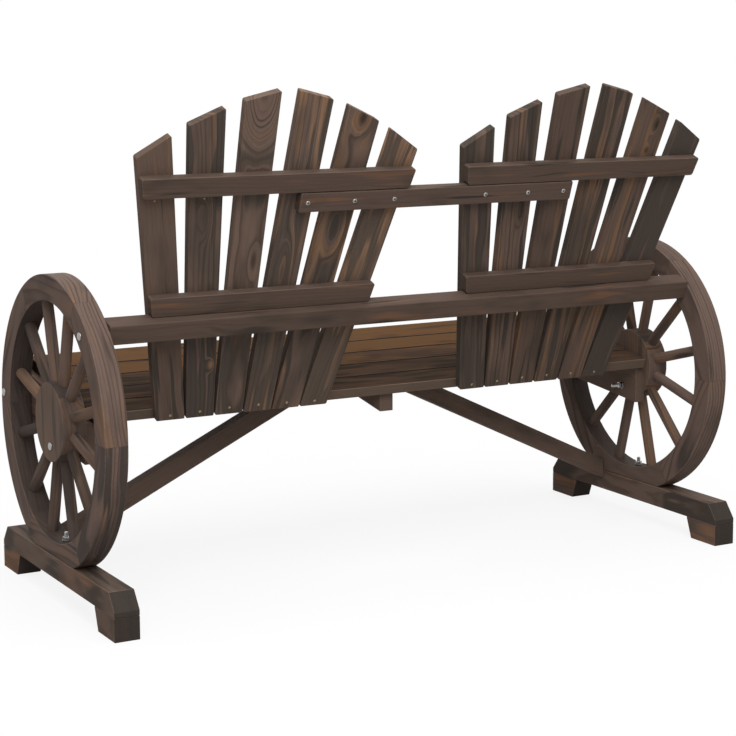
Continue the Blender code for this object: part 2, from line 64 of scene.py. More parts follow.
VECTOR = "ShaderNodeVectorMath"
RANGE = "ShaderNodeMapRange"
MIX = "ShaderNodeMix"
ATTRIBUTE = "ShaderNodeAttribute"
COMBINE = "ShaderNodeCombineXYZ"
SEPARATE = "ShaderNodeSeparateXYZ"
STORE = "GeometryNodeStoreNamedAttribute"
READ = "GeometryNodeInputNamedAttribute"

Pair = tuple[float, float]
Triple = tuple[float, float, float]
Spot = tuple[Vector, Vector]
FacePick = Callable[[MeshPolygon], bool]
Inputs = Sequence[Any] | dict[str | int, Any]
NodeMaker = Callable[..., NodeSocket]


class Side(Enum):
    """The two ends of the bench, named as the sitter has them."""

    LEFT = "left"
    RIGHT = "right"

    @property
    def outward(self) -> Vector:
        """The way from the middle of the bench to this end."""
        return Vector((1.0 if self is Side.LEFT else -1.0, 0.0, 0.0))


class Slot(Enum):
    """The record's material slots."""

    BACK = "back_wood"
    SEAT = "seat_wood"
    FRAME = "frame_wood"
    WHEEL = "wheel_wood"
    STEEL = "plated_steel"


def linear(hex_colour: str) -> tuple[float, ...]:
    """Turns an sRGB hex colour into the linear colour that shaders take.

    Args:
        hex_colour: The colour as "#rrggbb".

    Returns:
        Linear red, green and blue, and an alpha of one.
    """
    shares = [int(hex_colour[i:i + 2], 16) / 255 for i in (1, 3, 5)]
    return (*(s / 12.92 if s <= 0.04045 else ((s + 0.055) / 1.055) ** 2.4 for s in shares), 1.0)


def add_node(
    tree: NodeTree, kind: str, inputs: Inputs = (), out: str | int = 0, **settings: Any
) -> NodeSocket | None:
    """Adds a node with its settings, and fills or links its inputs.

    Args:
        tree: The node tree that gets the node.
        kind: Blender's name for the node, or in capitals an operation of its Math node.
        inputs: A value, or an output to link, for each input in order, or by its name or number.
        out: Name or number of the output to give back.
        settings: The node's own options.

    Returns:
        That output, or none where the node has no outputs.
    """
    if kind.isupper():
        kind, settings["operation"] = "ShaderNodeMath", kind
    node = tree.nodes.new(kind)
    for name, value in settings.items():
        setattr(node, name, value)
    for key, value in inputs.items() if isinstance(inputs, dict) else enumerate(inputs):
        if isinstance(value, NodeSocket):
            tree.links.new(value, node.inputs[key])
        else:
            node.inputs[key].default_value = value
    return node.outputs[out] if node.outputs else None


@dataclass(frozen=True)
class Finish:
    """A material that is made once and shared by the pieces that have it."""

    name: str

    def material(self) -> Material:
        """Makes the material on the first call.

        Returns:
            The material.
        """
        made = bpy.data.materials.get(self.name)
        if made is None:
            made = bpy.data.materials.new(self.name)
            made.use_nodes = True
            made.node_tree.nodes.clear()
            self.draw(partial(add_node, made.node_tree))
        return made

    def draw(self, node: NodeMaker) -> None:
        """Draws the finish as nodes; each kind of finish has its own."""
        raise NotImplementedError


@dataclass(frozen=True)
class ScorchedFir(Finish):
    """Fir boards that were flamed, brushed and oiled to a brown stain.

    The eye gets growth rings cut by each face, dark late wood on brown early wood, bands of amber where the
    flame passed quickly and of grey-black where it stayed, fine fibres, rubbed edges and darker end grain.
    The end grain's darkening also paints shade on picked faces, and the rubbed colour paints light on others.
    The solid pattern runs in each board's own grain coordinates, in millimetres. A span is the size of a
    patch across and along the grain.
    """

    early: str = "#6e5b50"
    late: str = "#40362f"
    amber: str = "#846650"
    # Charred colour, also used to paint shade on picked faces.
    char_and_shade: str = "#453f3a"
    # The rubbed colour also paints light on picked faces.
    rubbed: str = "#857365"
    # Real rings are about half as wide; they are drawn coarser, so that they don't blur in the picture.
    ring_mm: float = 9.0
    ring_climb: Pair = (0.42, 0.86)
    ring_drop: Pair = (0.84, 1.0)
    faintest_ring: float = 0.25
    taper: float = 0.016
    wander_mm: float = 18.0
    wander_span: Pair = (60.0, 230.0)
    waver_mm: float = 6.0
    waver_span: Pair = (16.0, 75.0)
    band_mm: float = 13.0
    amber_run_mm: float = 280.0
    char_run_mm: float = 240.0
    # Takes the scorched bands from another stretch of noise than the amber ones.
    char_shift_mm: float = 900.0
    char_depth: float = 0.85
    smoke_span: Pair = (55.0, 150.0)
    smoke_depth: float = 0.7
    # Real fibres are about a tenth as wide; they are drawn as coarse as they need to show in the picture.
    fibre_span: Pair = (2.3, 60.0)
    # The fibre noise between these levels turns into all of the shade and of the roughness.
    shade_levels: Pair = (0.25, 0.75)
    rough_levels: Pair = (0.3, 0.7)
    fibre_shade: Pair = (0.92, 1.08)
    knot_reach: float = 2.2
    knot_focus: float = 5.0
    edge_rub: float = 0.5
    # How much painted light the picked faces get, in the rubbed colour.
    painted_light_share: float = 0.45
    # How dark end grain turns; the same darkening paints shade on picked faces.
    end_and_shade_char: float = 0.4
    roughness: Pair = (0.6, 0.8)
    ring_relief: float = 0.7
    relief_mm: float = 0.5
    relief_strength: float = 0.35
    gloss: float = 0.05

    def noise(self, node: NodeMaker, place: NodeSocket, span: Pair, layers: float = 1.0) -> NodeSocket:
        """Draws noise that is stretched along the grain.

        Args:
            node: Adds a node to the material.
            place: Where each point lies, in millimetres, with Z along the grain.
            span: Size of a patch across and along the grain.
            layers: Number of finer layers in the noise.

        Returns:
            The noise, from 0 to 1.
        """
        across, along = (1 / size for size in span)
        drawn = node(VECTOR, (place, (across, across, along)), operation="MULTIPLY")
        return node("ShaderNodeTexNoise", {"Vector": drawn, "Scale": 1.0, "Detail": layers})

    def reach(self, node: NodeMaker, place: NodeSocket) -> NodeSocket:
        """Measures how far each point lies from the Z axis.

        Args:
            node: Adds a node to the material.
            place: Where each point lies.

        Returns:
            The distance.
        """
        level = node(VECTOR, (place, (1.0, 1.0, 0.0)), operation="MULTIPLY")
        return node(VECTOR, (level,), "Value", operation="LENGTH")

    def swelling(self, node: NodeMaker, knot: str) -> tuple[NodeSocket, NodeSocket]:
        """Finds how much of a knot's heart shows at a point, and how far the knot pushes the rings aside.

        Args:
            node: Adds a node to the material.
            knot: The attribute that holds the knot's place, push and darkness.

        Returns:
            The share of dark heart wood, below 0 where the heart is pale, and the push in millimetres.
        """
        place = node(ATTRIBUTE, out="Vector", attribute_name=knot)
        away = self.reach(node, place)
        near = node(RANGE, (away, 0.0, self.knot_reach, 1.0, 0.0), interpolation_type="SMOOTHERSTEP")
        push = node("MULTIPLY", (near, node(SEPARATE, (place,), "Z")))
        core = node("POWER", (near, self.knot_focus))
        return node("MULTIPLY", (core, place.node.outputs["Alpha"])), push

    def growth(self, node: NodeMaker, grain: NodeSocket, pushes: Iterable[NodeSocket]) -> NodeSocket:
        """Measures how much wood had grown when each point did, bent by knots and by the tree's own sway.

        Args:
            node: Adds a node to the material.
            grain: The board's grain coordinates.
            pushes: How far each knot pushes the rings aside.

        Returns:
            The growth since the heart of the log, in millimetres.
        """
        bent = grain
        for sway_mm, span in ((self.wander_mm, self.wander_span), (self.waver_mm, self.waver_span)):
            sway = self.noise(node, grain, span).node.outputs["Color"]
            bent = node(VECTOR, (sway, (sway_mm, sway_mm, 0.0), bent), operation="MULTIPLY_ADD")
        along = node(SEPARATE, (grain,), "Z")
        grown = node("MULTIPLY_ADD", (along, -self.taper, self.reach(node, bent)))
        for push in pushes:
            grown = node("ADD", (grown, push))
        return grown

    def late_wood(self, node: NodeMaker, grown: NodeSocket) -> NodeSocket:
        """Shades each ring from soft early wood to its hard, dark edge.

        Args:
            node: Adds a node to the material.
            grown: The growth in millimetres.

        Returns:
            The share of late wood, from 0 to 1, stronger in some rings than in others.
        """
        rings = node("DIVIDE", (grown, self.ring_mm))
        place = node("FRACT", (rings,))
        number = node("FLOOR", (rings,))
        chance = node("ShaderNodeTexWhiteNoise", {"W": number}, noise_dimensions="1D")
        climb = node(RANGE, (place, *self.ring_climb), interpolation_type="SMOOTHSTEP")
        drop = node(RANGE, (place, *self.ring_drop, 1.0, 0.0))
        edge = node("MULTIPLY", (climb, drop))
        force = node(RANGE, (chance, 0.0, 1.0, self.faintest_ring, 1.0))
        return node("MULTIPLY", (edge, force))

    def patches(self, node: NodeMaker, share: NodeSocket, soft: float, *spread: Any) -> NodeSocket:
        """Cuts noise into soft-edged patches that cover more of a board as its share grows.

        Args:
            node: Adds a node to the material.
            share: How much of the board the patches cover, from 0 to 1.
            soft: How slowly a patch fades out.
            spread: Place, span and layers of the noise.

        Returns:
            The cover, from 0 to 1.
        """
        # Nearly all of the noise lies between these levels.
        lowest, highest = 0.24, 0.74
        low = node("MULTIPLY_ADD", (share, lowest - highest, highest - soft / 2))
        high = node("ADD", (low, soft))
        noise = self.noise(node, *spread)
        return node(RANGE, (noise, low, high), interpolation_type="SMOOTHSTEP")

    def draw(self, node: NodeMaker) -> None:
        """Draws bands, rings, knots, fibres, rubbed edges, painted shade and light, and a dull oiled sheen.

        Args:
            node: Adds a node to the material.
        """
        grain = node(ATTRIBUTE, out="Vector", attribute_name="grain")
        board = node(ATTRIBUTE, attribute_name="board").node.outputs
        tone, warmth, scorch = node("ShaderNodeSeparateColor", (board["Color"],)).node.outputs
        marks = ("wear", "bare", "end")
        wear, bare, end = (node(ATTRIBUTE, out="Fac", attribute_name=mark) for mark in marks)
        hearts, pushes = zip(*(self.swelling(node, knot) for knot in KNOT_LAYERS))
        grown = self.growth(node, grain, pushes)
        layers = node(COMBINE, {"X": grown, "Z": node(SEPARATE, (grain,), "Z")})
        other = node(VECTOR, (layers, (self.char_shift_mm, 0.0, 0.0)), operation="ADD")

        warm = self.patches(node, warmth, 0.12, layers, (self.band_mm, self.amber_run_mm))
        banded = self.patches(node, scorch, 0.1, other, (self.band_mm, self.char_run_mm))
        smoky = self.patches(node, scorch, 0.3, grain, self.smoke_span, 2.0)
        smoke = node("MULTIPLY", (smoky, self.smoke_depth))
        burnt = node("MAXIMUM", (banded, smoke))
        veil = node("MULTIPLY", (burnt, self.char_depth))
        late = self.late_wood(node, grown)
        marked = node("MULTIPLY", (late, board["Alpha"]))
        heart = node("ADD", hearts)
        pale = node("MULTIPLY", (heart, -1.0))
        fibre = self.noise(node, grain, self.fibre_span, layers=2.0)
        rub_and_light = node("MULTIPLY", (wear, fibre))
        rub_and_light = node("MULTIPLY", (rub_and_light, self.edge_rub))
        # Painted light: the rubbed colour also lightens the picked faces, as if lit.
        rub_and_light = node("MULTIPLY_ADD", (bare, self.painted_light_share, rub_and_light))
        # Painted shade: the end-grain darkening also falls on picked faces in shade, such as the inside of
        # the rims and the gaps between seat slats.
        end_grain_and_shade = node("MULTIPLY", (end, self.end_and_shade_char))
        colour = linear(self.early)
        for cover, tint in ((warm, self.amber), (veil, self.char_and_shade), (marked, self.late), (pale, self.amber),
                            (heart, self.late), (rub_and_light, self.rubbed), (end_grain_and_shade, self.char_and_shade)):
            colour = node(MIX, {0: cover, 6: colour, 7: linear(tint)}, 2, data_type="RGBA")
        shade = node(RANGE, (fibre, *self.shade_levels, *self.fibre_shade))
        shade = node("MULTIPLY", (shade, tone))
        colour = node(VECTOR, {0: colour, "Scale": shade}, operation="SCALE")

        rough = node(RANGE, (fibre, *self.rough_levels, *self.roughness))
        height = node("MULTIPLY_ADD", (late, self.ring_relief, fibre))
        relief = {"Height": height, "Strength": self.relief_strength, "Distance": self.relief_mm * MM}
        surface = {"Base Color": colour, "Roughness": rough, "Normal": node("ShaderNodeBump", relief),
                   "Specular IOR Level": self.gloss}
        node("ShaderNodeOutputMaterial", {"Surface": node("ShaderNodeBsdfPrincipled", surface)})


@dataclass(frozen=True)
class PlatedSteel(Finish):
    """Steel fasteners with a zinc coat: a bright, slightly clouded metal with dull specks."""

    colour: str = "#b6b4b1"
    dull: str = "#7e7c7a"
    speck_mm: float = 1.6
    roughness: Pair = (0.22, 0.45)

    def draw(self, node: NodeMaker) -> None:
        """Draws the clouded metal.

        Args:
            node: Adds a node to the material.
        """
        place = node("ShaderNodeTexCoord", out="Object")
        speck = {"Vector": place, "Scale": 1 / (self.speck_mm * MM), "Detail": 2.0}
        speck = node("ShaderNodeTexNoise", speck)
        cloud = {0: speck, 6: linear(self.colour), 7: linear(self.dull)}
        colour = node(MIX, cloud, 2, data_type="RGBA")
        rough = node(RANGE, (speck, 0.0, 1.0, *self.roughness))
        surface = {"Base Color": colour, "Roughness": rough, "Metallic": 1.0}
        node("ShaderNodeOutputMaterial", {"Surface": node("ShaderNodeBsdfPrincipled", surface)})


BACK_FIR = ScorchedFir("scorched_fir_back", end_and_shade_char=0.1)
FRAME_FIR = ScorchedFir("scorched_fir_frame", early="#5f4f46", amber="#735644", char_and_shade="#35302c", ring_mm=7.0,
                        end_and_shade_char=0.95)
RAIL_FIR = replace(FRAME_FIR, name="scorched_fir_rail", end_and_shade_char=0.25)
# Its strong end darkening also paints shade on the inside of the rim.
WHEEL_FIR = ScorchedFir("scorched_fir_wheel", early="#6d5b52", late="#483c35", amber="#7a604e",
                        char_and_shade="#403a37", ring_mm=7.5, waver_mm=2.0, end_and_shade_char=0.7)
# The seat's fir is a darker copy of the others, which makes up for the strong top light on it: painted shade.
# Its full end darkening also paints shade in the gaps between slats.
SEAT_FIR = ScorchedFir("scorched_fir_seat", early="#4e3d32", late="#322923", amber="#604732", char_and_shade="#322d29",
                       ring_mm=7.0, band_mm=24.0, end_and_shade_char=1.0, gloss=0.0)
ZINC = PlatedSteel("zinc_plated_steel")
YELLOW_ZINC = PlatedSteel("yellow_zinc_plated_steel", colour="#c0ab84", dull="#857553")


@dataclass(frozen=True)
class Cut:
    """How a board lay in its log, and what the flame did to it."""

    heart_aside_mm: float
    heart_below_mm: float
    tone: float
    warmth: float
    scorch: float
    contrast: float


class Figure(Enum):
    """The looks that a board can have."""

    PLAIN = Cut(90.0, 40.0, 1.0, 0.08, 0.12, 0.12)
    QUIET = Cut(90.0, 40.0, 1.0, 0.16, 0.12, 0.25)
    DIM = Cut(90.0, 40.0, 0.82, 0.2, 0.25, 0.2)
    COMBED = Cut(70.0, 12.0, 1.05, 0.08, 0.35, 0.8)
    LINED = Cut(70.0, 12.0, 1.0, 0.25, 0.36, 0.9)
    ARCHED = Cut(4.0, 26.0, 1.0, 0.4, 0.33, 1.0)
    NESTED = Cut(4.0, 26.0, 1.07, 0.15, 0.1, 0.9)
    STREAKED = Cut(46.0, 18.0, 1.06, 0.55, 0.42, 0.65)
    BANDED = Cut(46.0, 18.0, 1.12, 0.85, 0.48, 0.8)
    HALVED = Cut(60.0, 24.0, 0.98, 0.45, 0.5, 0.45)
    SMOKED = Cut(90.0, 40.0, 0.97, 0.1, 0.75, 0.15)
    RIBBED = Cut(60.0, 16.0, 1.0, 0.4, 0.25, 0.5)
    WARM = Cut(80.0, 26.0, 1.02, 0.3, 0.16, 0.55)
    GOLDEN = Cut(80.0, 26.0, 1.0, 0.8, 0.18, 0.3)
    BURNT = Cut(60.0, 20.0, 0.98, 0.2, 0.55, 0.6)
    SLAB = Cut(14.0, 80.0, 1.04, 0.2, 0.2, 1.0)
    WARM_SLAB = Cut(14.0, 80.0, 1.04, 0.32, 0.2, 1.0)
    BURNT_SLAB = Cut(14.0, 80.0, 1.1, 0.15, 0.5, 0.9)


@dataclass(frozen=True)
class Knot:
    """A knot, or an eye where the saw just missed one: its place from the board's middle, size and push.

    Its heart is dark from 1 to 0, where it has none, and pale below 0.
    """

    across_mm: float
    along_mm: float
    width_mm: float
    length_mm: float
    push_mm: float
    dark: float = 1.0


NO_KNOT = Knot(0.0, 1e5, 9.0, 17.0, 0.0)


def store(mesh: Mesh, name: str, kind: str, values: Iterable[Any], domain: str = "POINT") -> None:
    """Stores values on a mesh for a finish to read.

    Args:
        mesh: The mesh that gets the values.
        name: Name of the attribute.
        kind: FLOAT, FLOAT_VECTOR or FLOAT_COLOR.
        values: One number or row of numbers for each vertex or face.
        domain: POINT for vertices or FACE for faces.
    """
    layer = mesh.attributes.new(name, kind, domain)
    part = {"FLOAT": "value", "FLOAT_VECTOR": "vector", "FLOAT_COLOR": "color"}[kind]
    layer.data.foreach_set(part, np.asarray(values, np.float32).ravel())


def no_face(face: MeshPolygon) -> bool:
    """Picks no face of a board."""
    return False


def any_point(point: Vector) -> bool:
    """Picks every point of a board."""
    return True


@dataclass(frozen=True)
class Grain:
    """How the wood of one board looks.

    Attributes:
        figure: The look of the board.
        knots: Up to two knots or eyes.
        tone: How much lighter this board is than others of its look.
        foot_scorch: How much longer the flame stayed on its foot than on its head; below 0, shorter.
        painted_shade: Tells which faces besides the ends get painted shade, darkened like end grain.
        bare: Tells which faces get painted light, in the rubbed colour.
    """

    figure: Figure
    knots: tuple[Knot, ...] = ()
    tone: float = 1.0
    foot_scorch: float = 0.0
    painted_shade: FacePick = no_face
    bare: FacePick = no_face

    def lay(self, mesh: Mesh, axes: Matrix) -> None:
        """Gives a board its place in a log, its tone, its knots, its end grain and its painted shade and
        light.

        Args:
            mesh: The board; its name seeds the draw.
            axes: The board's middle, and its directions across, through and along the grain.
        """
        square = 0.7
        longest_log_mm = 20000.0
        draw = random.Random(mesh.name)
        cut = self.figure.value
        points = np.ones((len(mesh.vertices), 4))
        points[:, :3] = [vertex.co for vertex in mesh.vertices]
        own = (points @ np.array(axes.inverted()).T)[:, :3] / MM
        aside = cut.heart_aside_mm * draw.uniform(0.7, 1.3) * draw.choice((-1, 1))
        below = cut.heart_below_mm * draw.uniform(0.8, 1.2) * draw.choice((-1, 1))
        store(mesh, "grain", "FLOAT_VECTOR", own + (aside, below, draw.uniform(0.0, longest_log_mm)))
        tone = cut.tone * self.tone * draw.uniform(0.95, 1.05)
        look = np.tile((tone, cut.warmth, cut.scorch, cut.contrast), (len(own), 1))
        look[:, 2] += self.foot_scorch * (own[:, 2].max() - own[:, 2]) / np.ptp(own[:, 2])
        store(mesh, "board", "FLOAT_COLOR", look)
        for name, knot in zip(KNOT_LAYERS, (*self.knots, NO_KNOT, NO_KNOT)):
            away = np.tile((0.0, 0.0, knot.push_mm, knot.dark), (len(own), 1))
            away[:, 0] = (own[:, 0] - knot.across_mm) / knot.width_mm
            away[:, 1] = (own[:, 2] - knot.along_mm) / knot.length_mm
            store(mesh, name, "FLOAT_COLOR", away)
        along = axes.col[2].to_3d()
        # Faces picked for painted shade are darkened with the end grain.
        ends = [float(abs(face.normal.dot(along)) > square or self.painted_shade(face)) for face in mesh.polygons]
        store(mesh, "end", "FLOAT", ends, "FACE")
        store(mesh, "bare", "FLOAT", [float(self.bare(face)) for face in mesh.polygons], "FACE")


def put(name: str, data: ID) -> Object:
    """Makes an object and puts it into the scene.

    Args:
        name: Name of the object.
        data: Its mesh, lamp or camera.

    Returns:
        The object.
    """
    made = bpy.data.objects.new(name, data)
    bpy.context.scene.collection.objects.link(made)
    return made


def plain_mesh(shape: BMesh, name: str) -> Mesh:
    """Turns a finished shape into a mesh whose faces look outward.

    Args:
        shape: The shape, which is freed.
        name: Name of the mesh.

    Returns:
        The mesh.
    """
    bmesh.ops.recalc_face_normals(shape, faces=shape.faces[:])
    mesh = bpy.data.meshes.new(name)
    shape.to_mesh(mesh)
    shape.free()
    return mesh


def shade_round(mesh: Mesh, sharp: float) -> Mesh:
    """Shades a mesh round, apart from its sharp edges.

    Args:
        mesh: The mesh to shade.
        sharp: Angle between two faces, in degrees, from which their edge is sharp.

    Returns:
        The same mesh.
    """
    mesh.shade_smooth()
    mesh.set_sharp_from_angle(angle=math.radians(sharp))
    return mesh


def shade_by_area(mesh: Mesh) -> None:
    """Shades eased edges round while broad faces stay flat and square edges stay sharp.

    Args:
        mesh: The mesh to shade.
    """
    square = math.cos(math.radians(60.0))
    mesh.shade_smooth()
    faces_at: list[list[MeshPolygon]] = [[] for _ in mesh.vertices]
    for face in mesh.polygons:
        for corner in face.vertices:
            faces_at[corner].append(face)
    normals = []
    for face in mesh.polygons:
        for corner in face.vertices:
            near = (other for other in faces_at[corner] if other.normal.dot(face.normal) > square)
            normals.append(sum((other.normal * other.area for other in near), Vector()).normalized())
    mesh.normals_split_custom_set(normals)


def wooden_mesh(shape: BMesh, name: str) -> Mesh:
    """Turns a finished wooden shape into a mesh with its rubbed edges marked.

    Args:
        shape: The shape, which is freed.
        name: Name of the mesh.

    Returns:
        The mesh.
    """
    narrowest = 1.6 * MM
    slim = {face for face in shape.faces if face.calc_area() < face.calc_perimeter() * narrowest}
    wear = [float(all(face in slim for face in vertex.link_faces)) for vertex in shape.verts]
    mesh = plain_mesh(shape, name)
    store(mesh, "wear", "FLOAT", wear)
    shade_by_area(mesh)
    return mesh


def add_piece(mesh: Mesh, finish: Finish, slot: Slot, *nodes: str) -> None:
    """Puts a finished mesh on the bench, as a piece of the same name.

    Args:
        mesh: The mesh, in the bench's frame.
        finish: Its material.
        slot: The record's slot for that material; not used.
        nodes: The nodes that the piece stands for.
    """
    mesh.materials.clear()
    mesh.materials.append(finish.material())
    piece = put(mesh.name, mesh)
    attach(piece, BODY)
    if nodes:
        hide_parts(*nodes)
    LOG.info("%s: %d faces, for %s", mesh.name, len(mesh.polygons), ", ".join(nodes) or "no node")


def round_over(shape: BMesh, edges: Iterable[BMEdge], width: float, steps: int = 3) -> None:
    """Rounds edges over.

    Args:
        shape: The shape that the edges belong to.
        edges: The edges to round.
        width: How far the rounding reaches from the edge.
        steps: Number of faces across the rounding.
    """
    bmesh.ops.bevel(shape, geom=list(edges), offset=width, segments=steps, profile=0.5, affect="EDGES",
                    clamp_overlap=True)


def steer(direction: Vector) -> Vector:
    """Points a direction up its longest part, so that like boards have like axes."""
    longest = max(direction, key=abs)
    return direction.normalized() * math.copysign(1.0, longest)


def run_of(edge: BMEdge) -> Vector:
    """Gives the way from an edge's first end to its second, at its full length."""
    return edge.verts[1].co - edge.verts[0].co


@dataclass(frozen=True)
class Board:
    """A sawn board: its node's outline without hidden bores and pegs, with eased edges."""

    node: str
    grain: Grain
    edge: float
    corner: float = 0.0
    square_ends: bool = False
    keep: Callable[[Vector], bool] = any_point

    def wrap(self, points: Iterable[Vector]) -> BMesh:
        """Wraps points in flat faces.

        Args:
            points: Corners of a shape that bulges everywhere.

        Returns:
            The closed shape.
        """
        flat = math.radians(1.0)
        shape = bmesh.new()
        for point in points:
            shape.verts.new(point)
        bmesh.ops.remove_doubles(shape, verts=shape.verts[:], dist=MERGE)
        bmesh.ops.convex_hull(shape, input=shape.verts[:])
        loose = [vertex for vertex in shape.verts if not vertex.link_faces]
        bmesh.ops.delete(shape, geom=loose, context="VERTS")
        bmesh.ops.dissolve_limit(shape, angle_limit=flat, verts=shape.verts[:], edges=shape.edges[:])
        bmesh.ops.recalc_face_normals(shape, faces=shape.faces[:])
        return shape

    @cached_property
    def corners(self) -> list[Vector]:
        """The board's own corners: the points of its node where three broad faces meet."""
        smallest = 1e-6
        parting = math.radians(4.0)
        shape = self.wrap(v.co.copy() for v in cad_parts[self.node].data.vertices if self.keep(v.co))
        found = []
        for vertex in shape.verts:
            ways: list[Vector] = []
            for face in vertex.link_faces:
                if face.calc_area() > smallest and all(face.normal.angle(way) > parting for way in ways):
                    ways.append(face.normal.copy())
            if len(ways) > 2:
                found.append(vertex.co.copy())
        shape.free()
        return found

    @cached_property
    def axes(self) -> Matrix:
        """The board's middle, and its directions across, through and along the grain."""
        parallel = math.cos(math.radians(10.0))
        shape = self.wrap(self.corners)
        runs = [run_of(edge) for edge in shape.edges]
        longest = max(runs, key=lambda run: run.length)
        alike = [run * math.copysign(1.0, run.dot(longest)) for run in runs
                 if abs(run.normalized().dot(longest.normalized())) > parallel]
        along = steer(sum(alike, Vector()))
        broad = max(shape.faces, key=lambda face: face.calc_area()).normal
        through = steer(broad - along * along.dot(broad))
        middle = sum((vertex.co for vertex in shape.verts), Vector()) / len(shape.verts)
        shape.free()
        turn = Matrix((through.cross(along), through, along)).transposed().to_4x4()
        return Matrix.Translation(middle) @ turn

    def spot(self, across: float, along: float, rear: bool = True) -> Spot:
        """Gives a point on the board's rear or front face, and the way out of it.

        Args:
            across: How far the point lies across the board from its middle.
            along: How far it lies along the board from its middle.
            rear: Whether it lies on the rear face.

        Returns:
            The point and the direction.
        """
        depths = [(self.axes.inverted() @ corner).y for corner in self.corners]
        depth = max(depths) if rear else min(depths)
        way = self.axes.col[1].to_3d() * (1.0 if rear else -1.0)
        return self.axes @ Vector((across, depth, along)), way

    def build(self, finish: Finish, slot: Slot) -> None:
        """Makes the board and lays its grain.

        Args:
            finish: Its material.
            slot: The record's slot for that material.
        """
        upright, lengthwise = 0.99, 0.9
        blunt = math.radians(26.0)
        through, along = (self.axes.col[number].to_3d() for number in (1, 2))
        shape = self.wrap(self.corners)
        if self.corner:
            posts = [edge for edge in shape.edges if abs(run_of(edge).normalized().dot(through)) > upright]
            round_over(shape, posts, self.corner, steps=4)
        sharp = [edge for edge in shape.edges if edge.calc_face_angle(0.0) > blunt]
        if self.square_ends:
            sharp = [edge for edge in sharp if abs(run_of(edge).normalized().dot(along)) > lengthwise]
        round_over(shape, sharp, self.edge)
        mesh = wooden_mesh(shape, f"{self.node}_board")
        self.grain.lay(mesh, self.axes)
        add_piece(mesh, finish, slot, self.node)


def turned(profile: Sequence[Pair], sides: int, place: Matrix) -> BMesh:
    """Turns a profile round an axis, as on a lathe.

    Args:
        profile: Radius and height of each point, from the axis and back to it.
        sides: Number of flats round the shape.
        place: Puts the axis, its local Z, on the bench.

    Returns:
        The closed shape.
    """
    shape = bmesh.new()
    points = [shape.verts.new((radius, 0.0, height)) for radius, height in profile]
    edges = [shape.edges.new(pair) for pair in zip(points, points[1:])]
    bmesh.ops.spin(shape, geom=points + edges, cent=(0, 0, 0), axis=(0, 0, 1), angle=math.tau, steps=sides,
                   use_merge=True)
    bmesh.ops.remove_doubles(shape, verts=shape.verts[:], dist=MERGE)
    bmesh.ops.transform(shape, matrix=place, verts=shape.verts[:])
    return shape


def fillet(radius: float, middle: Pair, start: float, stop: float, steps: int = 4) -> list[Pair]:
    """Gives the points of a rounding in a turned profile.

    Args:
        radius: Radius of the rounding.
        middle: Centre of the rounding, as radius and height.
        start: Angle of its first point, in degrees.
        stop: Angle of its last point, in degrees.
        steps: Number of stretches.

    Returns:
        Radius and height of each point.
    """
    angles = (math.radians(start + (stop - start) * i / steps) for i in range(steps + 1))
    return [(middle[0] + radius * math.cos(a), middle[1] + radius * math.sin(a)) for a in angles]


def axis_frame(base: Vector, way: Vector) -> Matrix:
    """Gives a frame whose Z axis starts at a point and runs one way."""
    return Matrix.Translation(base) @ way.to_track_quat("Z", "Y").to_matrix().to_4x4()


def geometry_tree(name: str, inputs: dict[str, Iterable[str]]) -> NodeTree:
    """Starts a geometry tree with named inputs and one geometry output.

    Args:
        name: Name of the tree.
        inputs: The names of the inputs for each kind of socket.

    Returns:
        The tree.
    """
    tree = bpy.data.node_groups.new(name, "GeometryNodeTree")
    for way in ("INPUT", "OUTPUT"):
        tree.interface.new_socket("Geometry", in_out=way, socket_type="NodeSocketGeometry")
    for kind, labels in inputs.items():
        for label in labels:
            tree.interface.new_socket(label, in_out="INPUT", socket_type=f"NodeSocket{kind}")
    return tree


def grow(tree: NodeTree, carrier: Mesh, values: dict[str, Any], name: str) -> Mesh:
    """Runs a geometry tree on a mesh and keeps the result as a plain mesh.

    Args:
        tree: The geometry tree.
        carrier: The mesh that the tree starts from.
        values: The tree's inputs by name.
        name: Name of the new mesh.

    Returns:
        The new mesh.
    """
    holder = put(f"{name}_holder", carrier)
    modifier = holder.modifiers.new("grow", "NODES")
    modifier.node_group = tree
    for socket in tree.interface.items_tree:
        if socket.in_out == "INPUT" and socket.name in values:
            modifier[socket.identifier] = values[socket.name]
    graph = bpy.context.evaluated_depsgraph_get()
    grown = holder.evaluated_get(graph)
    mesh = bpy.data.meshes.new_from_object(grown, preserve_all_data_layers=True, depsgraph=graph)
    holder.modifiers.remove(modifier)
    bpy.data.objects.remove(holder)
    mesh.name = name
    return mesh


